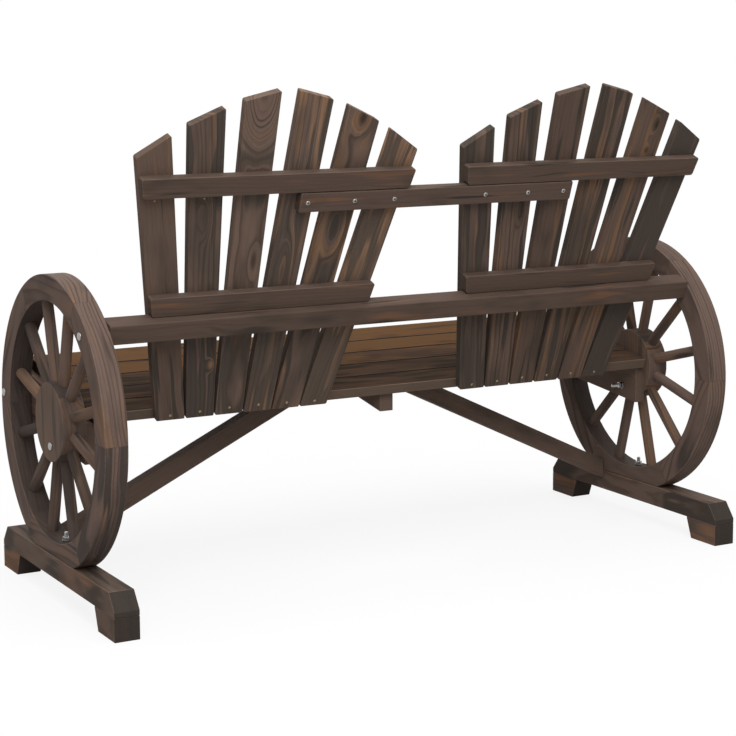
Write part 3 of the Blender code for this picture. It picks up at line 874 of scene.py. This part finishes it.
@dataclass(frozen=True)
class WagonWheel:
    """A fixed wagon wheel: six felloes, flat where they stand, round twelve dowel spokes and a hub disc."""

    side: Side
    figures: tuple[Figure, ...]
    spokes: int = 12
    arc_steps: int = 20
    rim_depth: float = 49.5 * MM
    rim_edge: float = 1.8 * MM
    joint: float = 0.3 * MM
    hub_radius: float = 76.0 * MM
    hub_edge: float = 2.0 * MM
    hub_sides: int = 72
    spoke_radius: float = 11.0 * MM
    spoke_sides: int = 20
    spoke_stations: int = 9
    spoke_tenon: float = 14.0 * MM
    spoke_swell: float = 0.02
    spoke_contrast: float = 0.5
    # Least and most of a spoke's tone, warmth and scorch, and of its place in its log in millimetres.
    spoke_looks: tuple[Triple, Triple] = ((0.94, 0.15, 0.15), (1.24, 0.6, 0.45))
    spoke_hearts: tuple[Triple, Triple] = ((25.0, -40.0, 0.0), (70.0, 40.0, 9000.0))

    @property
    def hub_node(self) -> str:
        """The node of the hub with its spokes."""
        return f"spoked_hub_{self.side.value}"

    def felloe_name(self, number: int) -> str:
        """Names a felloe's node; number 1 rises from the rear of the wheel."""
        return f"felloe_{self.side.value}_{number}"

    @cached_property
    def rim_box(self) -> Spot:
        """The lowest and highest corners of the whole rim."""
        boxes = [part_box(self.felloe_name(number)) for number in range(1, len(self.figures) + 1)]
        low = Vector(min(box[0][axis] for box in boxes) for axis in range(3))
        return low, Vector(max(box[1][axis] for box in boxes) for axis in range(3))

    @cached_property
    def radius(self) -> float:
        """The wheel's radius."""
        low, high = self.rim_box
        return (high.y - low.y) / 2

    @cached_property
    def centre(self) -> Vector:
        """The middle of the wheel."""
        low, high = self.rim_box
        return Vector(((low.x + high.x) / 2, (low.y + high.y) / 2, high.z - self.radius))

    def spot(self, angle: float, radius: float) -> Vector:
        """Gives a point of the wheel's middle plane, from the rear over the top."""
        return self.centre + Vector((0.0, math.cos(angle), math.sin(angle))) * radius

    def faces_hub(self, face: MeshPolygon) -> bool:
        """Tells whether a face of the rim looks at the hub, within about 37 degrees."""
        return (face.center - self.centre).normalized().dot(face.normal) < -0.8

    def felloe_shape(self, angles: Sequence[float], tangent: Vector) -> BMesh:
        """Saws a felloe, with a flat foot where it stands, and eases its edges apart from its joints.

        Args:
            angles: Angles of the points along its arc.
            tangent: The way along the felloe's middle.

        Returns:
            The closed shape.
        """
        joint_slant, joint_tilt, joint_share = 0.8, 0.1, 0.9
        blunt = math.radians(40.0)
        low, high = self.rim_box
        width = high.x - low.x
        outline = [self.spot(a, self.radius) for a in angles]
        outline += [self.spot(a, self.radius - self.rim_depth) for a in reversed(angles)]
        shape = bmesh.new()
        shape.faces.new([shape.verts.new((low.x, p.y, p.z)) for p in outline])
        walls = bmesh.ops.extrude_face_region(shape, geom=shape.faces[:])["geom"]
        bmesh.ops.translate(shape, vec=(width, 0, 0), verts=[v for v in walls if isinstance(v, BMVert)])
        if min(p.z for p in outline) < low.z:
            whole = shape.verts[:] + shape.edges[:] + shape.faces[:]
            sawn = bmesh.ops.bisect_plane(shape, geom=whole, plane_co=low, plane_no=(0, 0, -1),
                                          clear_outer=True)
            foot = [edge for edge in sawn["geom_cut"] if isinstance(edge, BMEdge)]
            bmesh.ops.edgeloop_fill(shape, edges=foot)
        bmesh.ops.recalc_face_normals(shape, faces=shape.faces[:])
        joints = {
            face for face in shape.faces
            if abs(face.normal.dot(tangent)) > joint_slant and abs(face.normal.x) < joint_tilt
            and len(face.verts) == 4 and face.calc_area() > self.rim_depth * width * joint_share
        }
        rims = [edge for edge in shape.edges
                if edge.calc_face_angle(0.0) > blunt and not joints.intersection(edge.link_faces)]
        round_over(shape, rims, self.rim_edge)
        return shape

    def build_felloe(self, number: int, figure: Figure) -> None:
        """Makes one felloe, sawn from a straight plank.

        Args:
            number: The felloe's number.
            figure: Its look.
        """
        node = self.felloe_name(number)
        span = math.tau / len(self.figures)
        slip = self.joint / 2 / self.radius
        angles = np.linspace((number - 1) * span + slip, number * span - slip, self.arc_steps + 1)
        middle = (angles[0] + angles[-1]) / 2
        tangent = Vector((0.0, -math.sin(middle), math.cos(middle)))
        radial = Vector((0.0, math.cos(middle), math.sin(middle)))
        mesh = wooden_mesh(self.felloe_shape(angles, tangent), f"{node}_block")
        turn = Matrix((radial, tangent.cross(radial), tangent)).transposed().to_4x4()
        place = Matrix.Translation(self.spot(middle, self.radius - self.rim_depth / 2)) @ turn
        # The rim's faces towards the hub get painted shade, darkened like end grain.
        Grain(figure, painted_shade=self.faces_hub).lay(mesh, place)
        add_piece(mesh, WHEEL_FIR, Slot.WHEEL, node)

    def build_hub(self) -> None:
        """Makes the hub disc, with upright grain."""
        low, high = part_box(self.hub_node)
        thickness = high.x - low.x
        edge = self.hub_edge
        rim = self.hub_radius - edge
        profile = [(0.0, 0.0), *fillet(edge, (rim, edge), -90, 0)]
        profile += [*fillet(edge, (rim, thickness - edge), 0, 90), (0.0, thickness)]
        place = axis_frame(Vector((low.x, self.centre.y, self.centre.z)), Vector((1, 0, 0)))
        mesh = wooden_mesh(turned(profile, self.hub_sides, place), f"hub_disc_{self.side.value}")
        turn = Matrix(((0, 1, 0), (1, 0, 0), (0, 0, 1))).to_4x4()
        Grain(Figure.RIBBED).lay(mesh, Matrix.Translation(self.centre) @ turn)
        add_piece(mesh, WHEEL_FIR, Slot.WHEEL, self.hub_node)

    def spoke_tree(self) -> NodeTree:
        """Draws the tree that sets slightly swelling dowels round a centre, each from its own stick.

        Returns:
            The tree.
        """
        tree = geometry_tree("wheel_spokes", {
            "Int": ("Count", "Seed"), "Vector": ("Centre",), "Material": ("Material",),
            "Float": ("Inner Radius", "Outer Radius", "Spoke Radius", "Swell", "Contrast"),
        })
        node = partial(add_node, tree)
        given = node("NodeGroupInput").node.outputs
        inner, outer = (node(COMBINE, {"Z": given[f"{end} Radius"]}) for end in ("Inner", "Outer"))
        line = node("GeometryNodeCurvePrimitiveLine", {"Start": inner, "End": outer})
        line = node("GeometryNodeResampleCurve", {"Curve": line, "Count": self.spoke_stations})
        swing = node("MULTIPLY_ADD", (node("GeometryNodeSplineParameter"), 2.0, -1.0))
        swing = node("POWER", (swing, 2.0))
        slim = node("MULTIPLY", (swing, given["Swell"]))
        full = node("SUBTRACT", (1.0, slim))
        girth = node("MULTIPLY", (full, given["Spoke Radius"]))
        ring = node("GeometryNodeCurvePrimitiveCircle", {"Resolution": self.spoke_sides, "Radius": 1.0})
        sweep = {"Curve": line, "Profile Curve": ring, "Scale": girth, "Fill Caps": True}
        dowel = node("GeometryNodeCurveToMesh", sweep)
        grain = node(VECTOR, {0: node("GeometryNodeInputPosition"), "Scale": 1 / MM}, operation="SCALE")
        keep = partial(node, STORE, domain="POINT", data_type="FLOAT_VECTOR")
        dowel = keep({"Geometry": dowel, "Name": "grain", "Value": grain})

        points = node("GeometryNodePoints", {"Count": given["Count"], "Position": given["Centre"]})
        step = node("DIVIDE", (math.tau, given["Count"]))
        number = node("ADD", (node("GeometryNodeInputIndex"), 0.5))
        angle = node("MULTIPLY", (number, step))
        turn = node("FunctionNodeEulerToRotation", (node(COMBINE, {"X": angle}),))
        fan = node("GeometryNodeInstanceOnPoints", {"Points": points, "Instance": dowel, "Rotation": turn})
        draw = partial(node, "FunctionNodeRandomValue", data_type="FLOAT_VECTOR")
        stick, look = (draw({0: least, 1: most, "Seed": given["Seed"]})
                       for least, most in (self.spoke_hearts, self.spoke_looks))
        look = node("FunctionNodeCombineColor", (*node(SEPARATE, (look,)).node.outputs, given["Contrast"]))
        for name, value, kind in (("stick", stick, "FLOAT_VECTOR"), ("board", look, "FLOAT_COLOR")):
            mark = {"Geometry": fan, "Name": name, "Value": value}
            fan = node(STORE, mark, domain="INSTANCE", data_type=kind)
        mesh = node("GeometryNodeRealizeInstances", {"Geometry": fan})
        laid = [node(READ, {"Name": name}, data_type="FLOAT_VECTOR") for name in ("grain", "stick")]
        far_away = (99.0, 99.0, 0.0)
        marks = {"grain": node(VECTOR, laid, operation="ADD"), **dict.fromkeys(KNOT_LAYERS, far_away)}
        for name, value in marks.items():
            mesh = keep({"Geometry": mesh, "Name": name, "Value": value})
        mesh = node("GeometryNodeSetMaterial", {"Geometry": mesh, "Material": given["Material"]})
        node("NodeGroupOutput", (mesh,))
        return tree

    def build_spokes(self) -> None:
        """Sets the spokes between hub and rim, each end in its socket."""
        name = f"spokes_{self.side.value}"
        sizes = {
            "Centre": tuple(self.centre), "Count": self.spokes, "Spoke Radius": self.spoke_radius,
            "Inner Radius": self.hub_radius - self.spoke_tenon, "Swell": self.spoke_swell,
            "Outer Radius": self.radius - self.rim_depth + self.spoke_tenon, "Contrast": self.spoke_contrast,
            "Seed": 3 if self.side is Side.LEFT else 8, "Material": WHEEL_FIR.material(),
        }
        mesh = grow(self.spoke_tree(), bpy.data.meshes.new(f"{name}_start"), sizes, name)
        add_piece(shade_round(mesh, sharp=40.0), WHEEL_FIR, Slot.WHEEL, self.hub_node)

    def build(self) -> None:
        """Builds the rim, the hub and the spokes."""
        for number, figure in enumerate(self.figures, start=1):
            self.build_felloe(number, figure)
        self.build_hub()
        self.build_spokes()


@dataclass(frozen=True)
class ScrewRow:
    """A row of wood screws with crossed slots: where each enters, and which way its head faces."""

    name: str
    finish: Finish
    spots: Sequence[Spot]
    head_radius: float = 4.5 * MM
    head_height: float = 1.6 * MM
    # The head's side from its flat top down to the shank, in shares of its radius and height.
    dome: tuple[Pair, ...] = ((0.62, 1.0), (0.86, 0.72), (1.0, 0.3), (1.0, -0.4), (0.4, -0.4))
    slot_reach: float = 0.56
    slot_width: float = 0.42
    slot_taper: float = 0.7
    slot_depth: float = 2.0 * MM
    sides: int = 24

    def head(self) -> Mesh:
        """Makes one head: a low dome with a crossed slot and a short shank.

        Returns:
            The closed mesh.
        """
        shape = bmesh.new()
        angles = [math.tau * i / self.sides for i in range(self.sides)]
        loops = []
        for share, level in self.dome:
            radius, height = self.head_radius * share, self.head_height * level
            ring = ((radius * math.cos(a), radius * math.sin(a), height) for a in angles)
            loops.append([shape.verts.new(point) for point in ring])
        for upper, lower in zip(loops, loops[1:]):
            for i in range(self.sides):
                j = (i + 1) % self.sides
                shape.faces.new((upper[i], lower[i], lower[j], upper[j]))
        shape.faces.new(list(reversed(loops[-1])))
        reach, width = self.head_radius * self.slot_reach, self.head_radius * self.slot_width / 2
        arm = [(width, width), (width, reach), (-width, reach)]
        turns = [Matrix.Rotation(quarter * math.pi / 2, 2) for quarter in range(4)]
        cross = [turn @ Vector(point) for turn in turns for point in arm]
        top = [shape.verts.new((p.x, p.y, self.head_height)) for p in cross]
        floor = self.head_height - self.slot_depth
        sunk = [shape.verts.new((p.x * self.slot_taper, p.y * self.slot_taper, floor)) for p in cross]
        rim = [shape.edges.get(pair) for pair in zip(loops[0], loops[0][1:] + loops[0][:1])]
        slot = []
        for i, corner in enumerate(top):
            j = (i + 1) % len(top)
            slot.append(shape.edges.new((corner, top[j])))
            shape.faces.new((corner, top[j], sunk[j], sunk[i]))
        shape.faces.new(sunk)
        bmesh.ops.triangle_fill(shape, edges=rim + slot, use_beauty=True)
        return shade_round(plain_mesh(shape, f"{self.name}_head"), sharp=35.0)

    def tree(self) -> NodeTree:
        """Draws the tree that sets a head on each spot, turned at random.

        Returns:
            The tree.
        """
        tree = geometry_tree("screw_row", {kind: (name,) for kind, name in
                                           (("Object", "Head"), ("Int", "Seed"), ("Material", "Material"))})
        node = partial(add_node, tree)
        given = node("NodeGroupInput").node.outputs
        head = node("GeometryNodeObjectInfo", {"Object": given["Head"]}, "Geometry")
        facing = node(READ, {"Name": "facing"}, data_type="FLOAT_VECTOR")
        upright = node("FunctionNodeAlignRotationToVector", {"Vector": facing}, axis="Z")
        chance = {2: 0.0, 3: math.tau, "Seed": given["Seed"]}
        angle = node("FunctionNodeRandomValue", chance, 1, data_type="FLOAT")
        spin = node("FunctionNodeAxisAngleToRotation", {"Axis": (0.0, 0.0, 1.0), "Angle": angle})
        turn = {"Rotation": upright, "Rotate By": spin}
        turn = node("FunctionNodeRotateRotation", turn, rotation_space="LOCAL")
        spread = {"Points": given["Geometry"], "Instance": head, "Rotation": turn}
        mesh = node("GeometryNodeRealizeInstances", (node("GeometryNodeInstanceOnPoints", spread),))
        mesh = node("GeometryNodeSetMaterial", {"Geometry": mesh, "Material": given["Material"]})
        node("NodeGroupOutput", (mesh,))
        return tree

    def build(self) -> None:
        """Drives the screws."""
        spots = bpy.data.meshes.new(f"{self.name}_spots")
        spots.from_pydata([tuple(spot) for spot, _ in self.spots], [], [])
        store(spots, "facing", "FLOAT_VECTOR", [tuple(way) for _, way in self.spots])
        pattern = bpy.data.objects.new(f"{self.name}_pattern", self.head())
        values = {"Head": pattern, "Seed": len(self.spots), "Material": self.finish.material()}
        mesh = grow(self.tree(), spots, values, self.name)
        bpy.data.objects.remove(pattern)
        add_piece(mesh, self.finish, Slot.STEEL)


@dataclass(frozen=True)
class FanBack:
    """One of the two backs: six slats that fan out, on two battens."""

    side: Side
    figures: tuple[Figure, ...]
    tones: tuple[float, ...]
    foot_scorch: float
    knots: dict[int, tuple[Knot, ...]]
    # Screws that show just under the upper batten: how far each lies across its slat.
    stray_screws: dict[int, float] = field(default_factory=dict)
    stray_drop: float = 30.5 * MM
    stray_head: Pair = (1.7 * MM, 0.8 * MM)
    slat_edge: float = 1.8 * MM
    slat_corner: float = 3.0 * MM
    batten_edge: float = 2.6 * MM
    batten_corner: float = 5.0 * MM
    foot_length: float = 30.0 * MM
    foot_screw_rise: float = 15.0 * MM
    screw_head: Pair = (2.5 * MM, 0.9 * MM)

    @cached_property
    def slats(self) -> dict[int, Board]:
        """The slats by number; number 1 is the one furthest towards +X."""
        made = {}
        for number, (figure, tone) in enumerate(zip(self.figures, self.tones), start=1):
            grain = Grain(figure, self.knots.get(number, ()), tone, self.foot_scorch)
            node = f"back_slat_{self.side.value}_{number}"
            made[number] = Board(node, grain, self.slat_edge, self.slat_corner)
        return made

    @cached_property
    def battens(self) -> dict[str, Board]:
        """The upper and the lower batten."""
        return {level: Board(f"{level}_batten_{self.side.value}", Grain(Figure.QUIET), self.batten_edge,
                             self.batten_corner) for level in ("upper", "lower")}

    def foot_screw(self, slat: Board) -> Spot:
        """Finds where a screw goes into a slat's foot, on the rear face.

        Args:
            slat: The slat.

        Returns:
            The point and the way out of it.
        """
        own = [slat.axes.inverted() @ corner for corner in slat.corners]
        foot = min(point.z for point in own)
        across = [point.x for point in own if point.z < foot + self.foot_length]
        return slat.spot(sum(across) / len(across), foot + self.foot_screw_rise)

    def rise(self, slat: Board, level: str) -> float:
        """Finds how far up a slat, from its middle, the middle of a batten crosses it.

        Args:
            slat: The slat.
            level: The upper or the lower batten.

        Returns:
            The distance along the slat.
        """
        batten = self.battens[level].axes
        upright = batten.col[0].to_3d()
        gap = batten.translation - slat.axes.translation
        return gap.dot(upright) / slat.axes.col[2].to_3d().dot(upright)

    def build(self) -> None:
        """Builds slats, battens and their screws."""
        slats = self.slats.values()
        for slat in slats:
            slat.build(BACK_FIR, Slot.BACK)
        for batten in self.battens.values():
            batten.build(RAIL_FIR, Slot.FRAME)
        feet = [self.foot_screw(slat) for slat in slats]
        fronts = [slat.spot(0.0, self.rise(slat, level), rear=False)
                  for level in self.battens for slat in slats]
        strays = [self.slats[number].spot(across, self.rise(self.slats[number], "upper") - self.stray_drop)
                  for number, across in self.stray_screws.items()]
        for name, spots, head in (("slat_foot_screws", feet, self.screw_head),
                                  ("slat_front_screws", fronts, self.screw_head),
                                  ("stray_screws", strays, self.stray_head)):
            if spots:
                ScrewRow(f"{name}_{self.side.value}", YELLOW_ZINC, spots, *head).build()


@dataclass(frozen=True)
class Crosspieces:
    """What ties the two backs together: a rail between them and the long bar from wheel to wheel."""

    edge: float = 2.4 * MM
    corner: float = 3.0 * MM
    # Screws in the rail, measured along the bench from its middle.
    rail_screws: tuple[float, ...] = (0.279, 0.1805, 0.095, -0.109, -0.208, -0.292)

    def build(self) -> None:
        """Builds the rail with its screws, and the bar."""
        rail = Board("joining_rail", Grain(Figure.QUIET), self.edge, self.corner)
        bar = Board("rear_crossbar", Grain(Figure.QUIET), self.edge, square_ends=True)
        for board in (rail, bar):
            board.build(RAIL_FIR, Slot.FRAME)
        spots = [rail.spot(0.0, x - rail.axes.translation.x) for x in self.rail_screws]
        ScrewRow("rail_screws", ZINC, spots).build()


@dataclass(frozen=True)
class Seat:
    """Five long slats on three bearers; rear slats darker, partly painted shade from the backs; left end more
    scorched.
    """

    slat_edge: float = 2.0 * MM
    bearer_edge: float = 1.5 * MM
    # The rear slats are scorched and toned darker, partly as painted shade under the backs.
    figures: tuple[Figure, ...] = (Figure.BURNT, Figure.BURNT, Figure.STREAKED, Figure.GOLDEN, Figure.GOLDEN)
    tones: tuple[float, ...] = (1.05, 1.08, 1.12, 1.15, 1.25)
    left_scorch: float = 0.35

    def faces_rear(self, face: MeshPolygon) -> bool:
        """Tells whether a face looks to the rear, within 60 degrees."""
        return face.normal.y > 0.5

    def build(self) -> None:
        """Builds the slats, rear one first, and the bearers, with painted light on the seat's own rear edge.
        """
        for number, (figure, tone) in enumerate(zip(self.figures, self.tones), start=1):
            # The seat's own rear edge gets painted light; the rear faces of the other slats get painted shade
            # for the gaps.
            edge = {"bare" if number == 1 else "painted_shade": self.faces_rear}
            grain = Grain(figure, tone=tone, foot_scorch=-self.left_scorch, **edge)
            Board(f"seat_slat_{number}", grain, self.slat_edge).build(SEAT_FIR, Slot.SEAT)
        for node in ("end_bearer_left", "end_bearer_right", "centre_bearer"):
            Board(node, Grain(Figure.PLAIN), self.bearer_edge).build(BACK_FIR, Slot.FRAME)


@dataclass(frozen=True)
class Undercarriage:
    """Sleds on foot blocks, and the braces that rise from them to the seat."""

    side: Side
    sled_edge: float = 1.2 * MM
    sled_tone: float = 1.38
    foot_tone: float = 1.32
    brace_edge: float = 1.6 * MM
    brace_tone: float = 1.25
    slack: float = 0.1 * MM

    def outside_pegs(self, point: Vector) -> bool:
        """Tells whether a brace's point lies outside its pegs, which run into the sled and the seat.

        Args:
            point: A point of the brace.

        Returns:
            Whether it belongs to the board itself.
        """
        downward = -0.9
        inner = min(abs(corner.x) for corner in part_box(f"sled_{self.side.value}"))
        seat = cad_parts["seat_slat_3"].data
        under = max((face for face in seat.polygons if face.normal.z < downward), key=lambda face: face.area)
        height = (point - under.center).dot(under.normal)
        return abs(point.x) < inner + self.slack and height > -self.slack

    def build(self) -> None:
        """Builds one side."""
        side = self.side.value
        sled = f"sled_{side}"
        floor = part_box(sled)[0].z
        boards = [Board(sled, Grain(Figure.LINED, tone=self.sled_tone), self.sled_edge)]
        for end in ("rear", "front"):
            boards.append(Board(f"foot_block_{side}_{end}", Grain(Figure.RIBBED, tone=self.foot_tone),
                                self.sled_edge, keep=lambda point: point.z < floor))
        boards.append(Board(f"brace_{side}", Grain(Figure.PLAIN, tone=self.brace_tone), self.brace_edge,
                            keep=self.outside_pegs))
        for board in boards:
            board.build(FRAME_FIR, Slot.FRAME)


@dataclass(frozen=True)
class Fastener:
    """A steel piece that fills its node's box along one way."""

    node: str
    way: Vector

    @cached_property
    def box(self) -> Spot:
        """The lowest and highest corners of its node."""
        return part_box(self.node)

    @cached_property
    def length(self) -> float:
        """Its length along its way."""
        return abs((self.box[1] - self.box[0]).dot(self.way))

    @cached_property
    def radius(self) -> float:
        """The radius of its widest part."""
        return sorted(self.box[1] - self.box[0])[1] / 2

    def place(self, rise: float = 0.0) -> Matrix:
        """Gives a frame on its axis, some way up from its start."""
        base = (self.box[0] + self.box[1]) / 2 - self.way * self.length / 2
        return axis_frame(base + self.way * rise, self.way)

    def add(self, shape: BMesh, sharp: float) -> None:
        """Puts the finished shape on the bench; edges from a sharp angle on stay sharp."""
        mesh = shade_round(plain_mesh(shape, f"{self.node}_steel"), sharp)
        add_piece(mesh, ZINC, Slot.STEEL, self.node)


@dataclass(frozen=True)
class Bolt(Fastener):
    """A dome-headed bolt, with a thread where its tip shows."""

    thread_length: float = 0.0
    thread_pitch: float = 1.25 * MM
    thread_depth: float = 0.6 * MM
    head_height: float = 4.0 * MM
    crown_share: float = 0.75
    crown_points: int = 7
    shank_radius: float = 4.0 * MM
    sides: int = 28

    def build(self) -> None:
        """Turns the bolt, from the crown of its head to its tip."""
        crown = self.head_height * self.crown_share
        profile = [(self.radius * math.sin(a), crown * (1 - math.cos(a)))
                   for a in np.linspace(0.0, math.pi / 2, self.crown_points)]
        profile += [(self.radius, self.head_height), (self.shank_radius, self.head_height)]
        root = self.shank_radius - self.thread_depth
        start = self.length - self.thread_length
        for turn in range(int(self.thread_length / self.thread_pitch)):
            ridge = start + turn * self.thread_pitch
            profile += [(self.shank_radius, ridge), (root, ridge + self.thread_pitch / 2)]
        profile += [(root, self.length - self.thread_depth), (root - self.thread_depth, self.length),
                    (0.0, self.length)]
        self.add(turned(profile, self.sides, self.place()), sharp=40.0)


@dataclass(frozen=True)
class NutAndWasher(Fastener):
    """A six-sided nut with dressed corners on a round washer."""

    washer_thickness: float = 1.5 * MM
    washer_sides: int = 32
    nut_radius: float = 7.4 * MM
    corner: float = 0.7 * MM

    def build(self) -> None:
        """Makes nut and washer as one piece."""
        washer = self.washer_thickness
        lip = washer / 4
        rim = self.radius
        profile = [(0.0, 0.0), (rim - lip, 0.0), (rim, lip)]
        profile += [(rim, washer - lip), (rim - lip, washer), (0.0, washer)]
        shape = turned(profile, self.washer_sides, self.place())
        nut = self.length - washer
        made = bmesh.ops.create_cone(
            shape, cap_ends=True, segments=6, radius1=self.nut_radius, radius2=self.nut_radius, depth=nut,
            matrix=self.place(washer + nut / 2))["verts"]
        ends = {face for vertex in made for face in vertex.link_faces if len(face.verts) == 6}
        round_over(shape, {edge for face in ends for edge in face.edges}, self.corner, steps=2)
        self.add(shape, sharp=25.0)


@dataclass(frozen=True)
class Fasteners:
    """The bolts that hold one wheel: to the bar, the bearer (twice) and the sled."""

    side: Side
    hub_thread: float = 26.0 * MM
    sled_thread: float = 18.0 * MM

    def build(self) -> None:
        """Builds the bolts, nuts and washers of one side."""
        side = self.side.value
        inward = -self.side.outward
        upward = Vector((0.0, 0.0, 1.0))
        for piece in (
            Bolt(f"crossbar_bolt_{side}", inward),
            Bolt(f"rim_bolt_{side}", inward),
            Bolt(f"hub_bolt_{side}", inward, self.hub_thread),
            Bolt(f"sled_bolt_{side}", upward, self.sled_thread),
            NutAndWasher(f"hub_nut_{side}", inward),
            NutAndWasher(f"sled_nut_{side}", upward),
        ):
            piece.build()


def sight(node: NodeMaker) -> NodeSocket:
    """Tells what is seen from what only lights the bench.

    Args:
        node: Adds a node to the tree.

    Returns:
        1 for what the camera, mirrors and glass see, and 0 for the rest.
    """
    rays = node("ShaderNodeLightPath").node.outputs
    seen = node("ADD", (rays["Is Camera Ray"], rays["Is Glossy Ray"]))
    return node("ADD", (seen, rays["Is Transmission Ray"]), use_clamp=True)


@dataclass(frozen=True)
class StudioFloor(Finish):
    """Matt paper, seen as white apart from a light shadow near the bench; it lights the bench as grey."""

    lit: str = "#b4b4b4"
    seen: str = "#fafafa"
    shadow_share: float = 0.16
    fade_start: float = 0.5
    fade_stop: float = 1.5

    def draw(self, node: NodeMaker) -> None:
        """Draws the paper, with a shadow that fades to white.

        Args:
            node: Adds a node to the material.
        """
        lit, matt = (node("ShaderNodeBsdfDiffuse", {"Color": linear(tint)}) for tint in (self.lit, self.seen))
        white = node("ShaderNodeEmission", {"Color": WHITE, "Strength": 1.0})
        away = node(VECTOR, (node("ShaderNodeTexCoord", out="Object"),), "Value", operation="LENGTH")
        fade = (away, self.fade_start, self.fade_stop, 1 - self.shadow_share, 1.0)
        fade = node(RANGE, fade, interpolation_type="SMOOTHSTEP")
        seen = node("ShaderNodeMixShader", (fade, matt, white))
        mixed = node("ShaderNodeMixShader", (sight(node), lit, seen))
        node("ShaderNodeOutputMaterial", {"Surface": mixed})


@dataclass(frozen=True)
class Lamp:
    """A square softbox that is aimed at the bench: where it hangs, its size and its power."""

    name: str
    place: Triple
    size: float
    watts: float


@dataclass(frozen=True)
class Studio:
    """A pale floor, soft light and a camera behind the bench."""

    camera_place: Triple = (1.9319, 3.4389, 1.0544)
    azimuth: float = 150.882
    elevation: float = 7.804
    roll: float = -0.193
    lens_mm: float = 95.42
    shift_up: float = -0.08
    dome: float = 0.41
    lamps: tuple[Lamp, ...] = (Lamp("key_lamp", (1.6, 3.1, 3.3), 2.6, 98.0),
                               Lamp("top_lamp", (0.0, 1.1, 4.6), 3.0, 95.0),
                               Lamp("fill_lamp", (-1.6, -3.4, 2.6), 2.8, 45.0))
    aim: Triple = (0.0, 0.0, 0.4)
    floor_size: float = 24.0
    floor: Finish = StudioFloor("studio_floor")

    def build_camera(self) -> None:
        """Sets the camera; azimuth 0 would look along +Y."""
        data = bpy.data.cameras.new("camera")
        data.lens = self.lens_mm
        data.shift_y = self.shift_up
        camera = put("camera", data)
        camera.matrix_world = Matrix.Translation(self.camera_place)
        for angle, axis in ((self.azimuth, "Z"), (90.0 - self.elevation, "X"), (self.roll, "Z")):
            camera.matrix_world = camera.matrix_world @ Matrix.Rotation(math.radians(angle), 4, axis)
        bpy.context.scene.camera = camera

    def build_light(self) -> None:
        """Hangs the lamps in an even dome of light."""
        for lamp in self.lamps:
            data = bpy.data.lights.new(lamp.name, "AREA")
            data.energy = lamp.watts
            data.size = lamp.size
            place = Vector(lamp.place)
            put(lamp.name, data).matrix_world = axis_frame(place, place - Vector(self.aim))
        world = bpy.data.worlds.new("studio")
        bpy.context.scene.world = world
        world.use_nodes = True
        world.node_tree.nodes.clear()
        node = partial(add_node, world.node_tree)
        glow, white = (node("ShaderNodeBackground", {"Color": WHITE, "Strength": strength})
                       for strength in (self.dome, 1.0))
        mixed = node("ShaderNodeMixShader", (sight(node), glow, white))
        node("ShaderNodeOutputWorld", {"Surface": mixed})

    def build_floor(self) -> None:
        """Lays the floor."""
        shape = bmesh.new()
        bmesh.ops.create_grid(shape, x_segments=1, y_segments=1, size=self.floor_size / 2)
        mesh = plain_mesh(shape, "floor")
        mesh.materials.append(self.floor.material())
        put("floor", mesh)

    def build(self) -> None:
        """Builds the studio and sets the plain view transform."""
        bpy.context.scene.view_settings.view_transform = "Standard"
        self.build_camera()
        self.build_light()
        self.build_floor()


FELLOE_FIGURES = {
    Side.LEFT: (Figure.SLAB, Figure.SLAB, Figure.WARM_SLAB, Figure.SLAB, Figure.WARM_SLAB, Figure.BURNT_SLAB),
    Side.RIGHT: (Figure.SLAB, Figure.SLAB, Figure.SLAB, Figure.SLAB, Figure.SLAB, Figure.WARM_SLAB),
}
LEFT_BACK = FanBack(
    Side.LEFT,
    (Figure.PLAIN, Figure.COMBED, Figure.NESTED, Figure.STREAKED, Figure.ARCHED, Figure.BANDED),
    tones=(0.96, 1.08, 1.03, 1.16, 1.1, 1.24),
    foot_scorch=0.25,
    knots={2: (Knot(0.0, 112.0, 11.0, 34.0, 22.0, 0.35), Knot(-19.0, -198.0, 8.0, 13.0, 18.0, -1.0)),
           3: (Knot(-2.0, 345.0, 31.0, 95.0, 100.0, 0.0), Knot(-15.0, 0.0, 8.0, 28.0, 12.0, 0.7)),
           4: (Knot(0.0, -30.0, 12.0, 60.0, 36.0, 0.4),),
           5: (Knot(1.0, 300.0, 15.0, 26.0, 22.0), Knot(0.0, 80.0, 13.0, 40.0, 30.0, 0.45))},
    stray_screws={1: 5.0 * MM, 2: 2.8 * MM},
)
RIGHT_BACK = FanBack(
    Side.RIGHT,
    (Figure.BURNT, Figure.LINED, Figure.DIM, Figure.HALVED, Figure.WARM, Figure.SMOKED),
    tones=(1.06, 0.98, 0.94, 1.0, 0.84, 1.1),
    foot_scorch=0.0,
    knots={2: (Knot(-14.0, 95.0, 9.0, 36.0, 26.0),),
           5: (Knot(-11.0, 271.0, 9.0, 18.0, 20.0), Knot(-7.0, 215.0, 7.0, 12.0, 12.0, 0.7))},
)


def main() -> None:
    """Builds the bench from the ground up, then the studio."""
    logging.basicConfig(level=logging.INFO, format="%(name)s: %(message)s")
    for side in Side:
        Undercarriage(side).build()
        WagonWheel(side, FELLOE_FIGURES[side]).build()
        Fasteners(side).build()
    Seat().build()
    LEFT_BACK.build()
    RIGHT_BACK.build()
    Crosspieces().build()
    Studio().build()


if __name__ == "__main__":
    main()
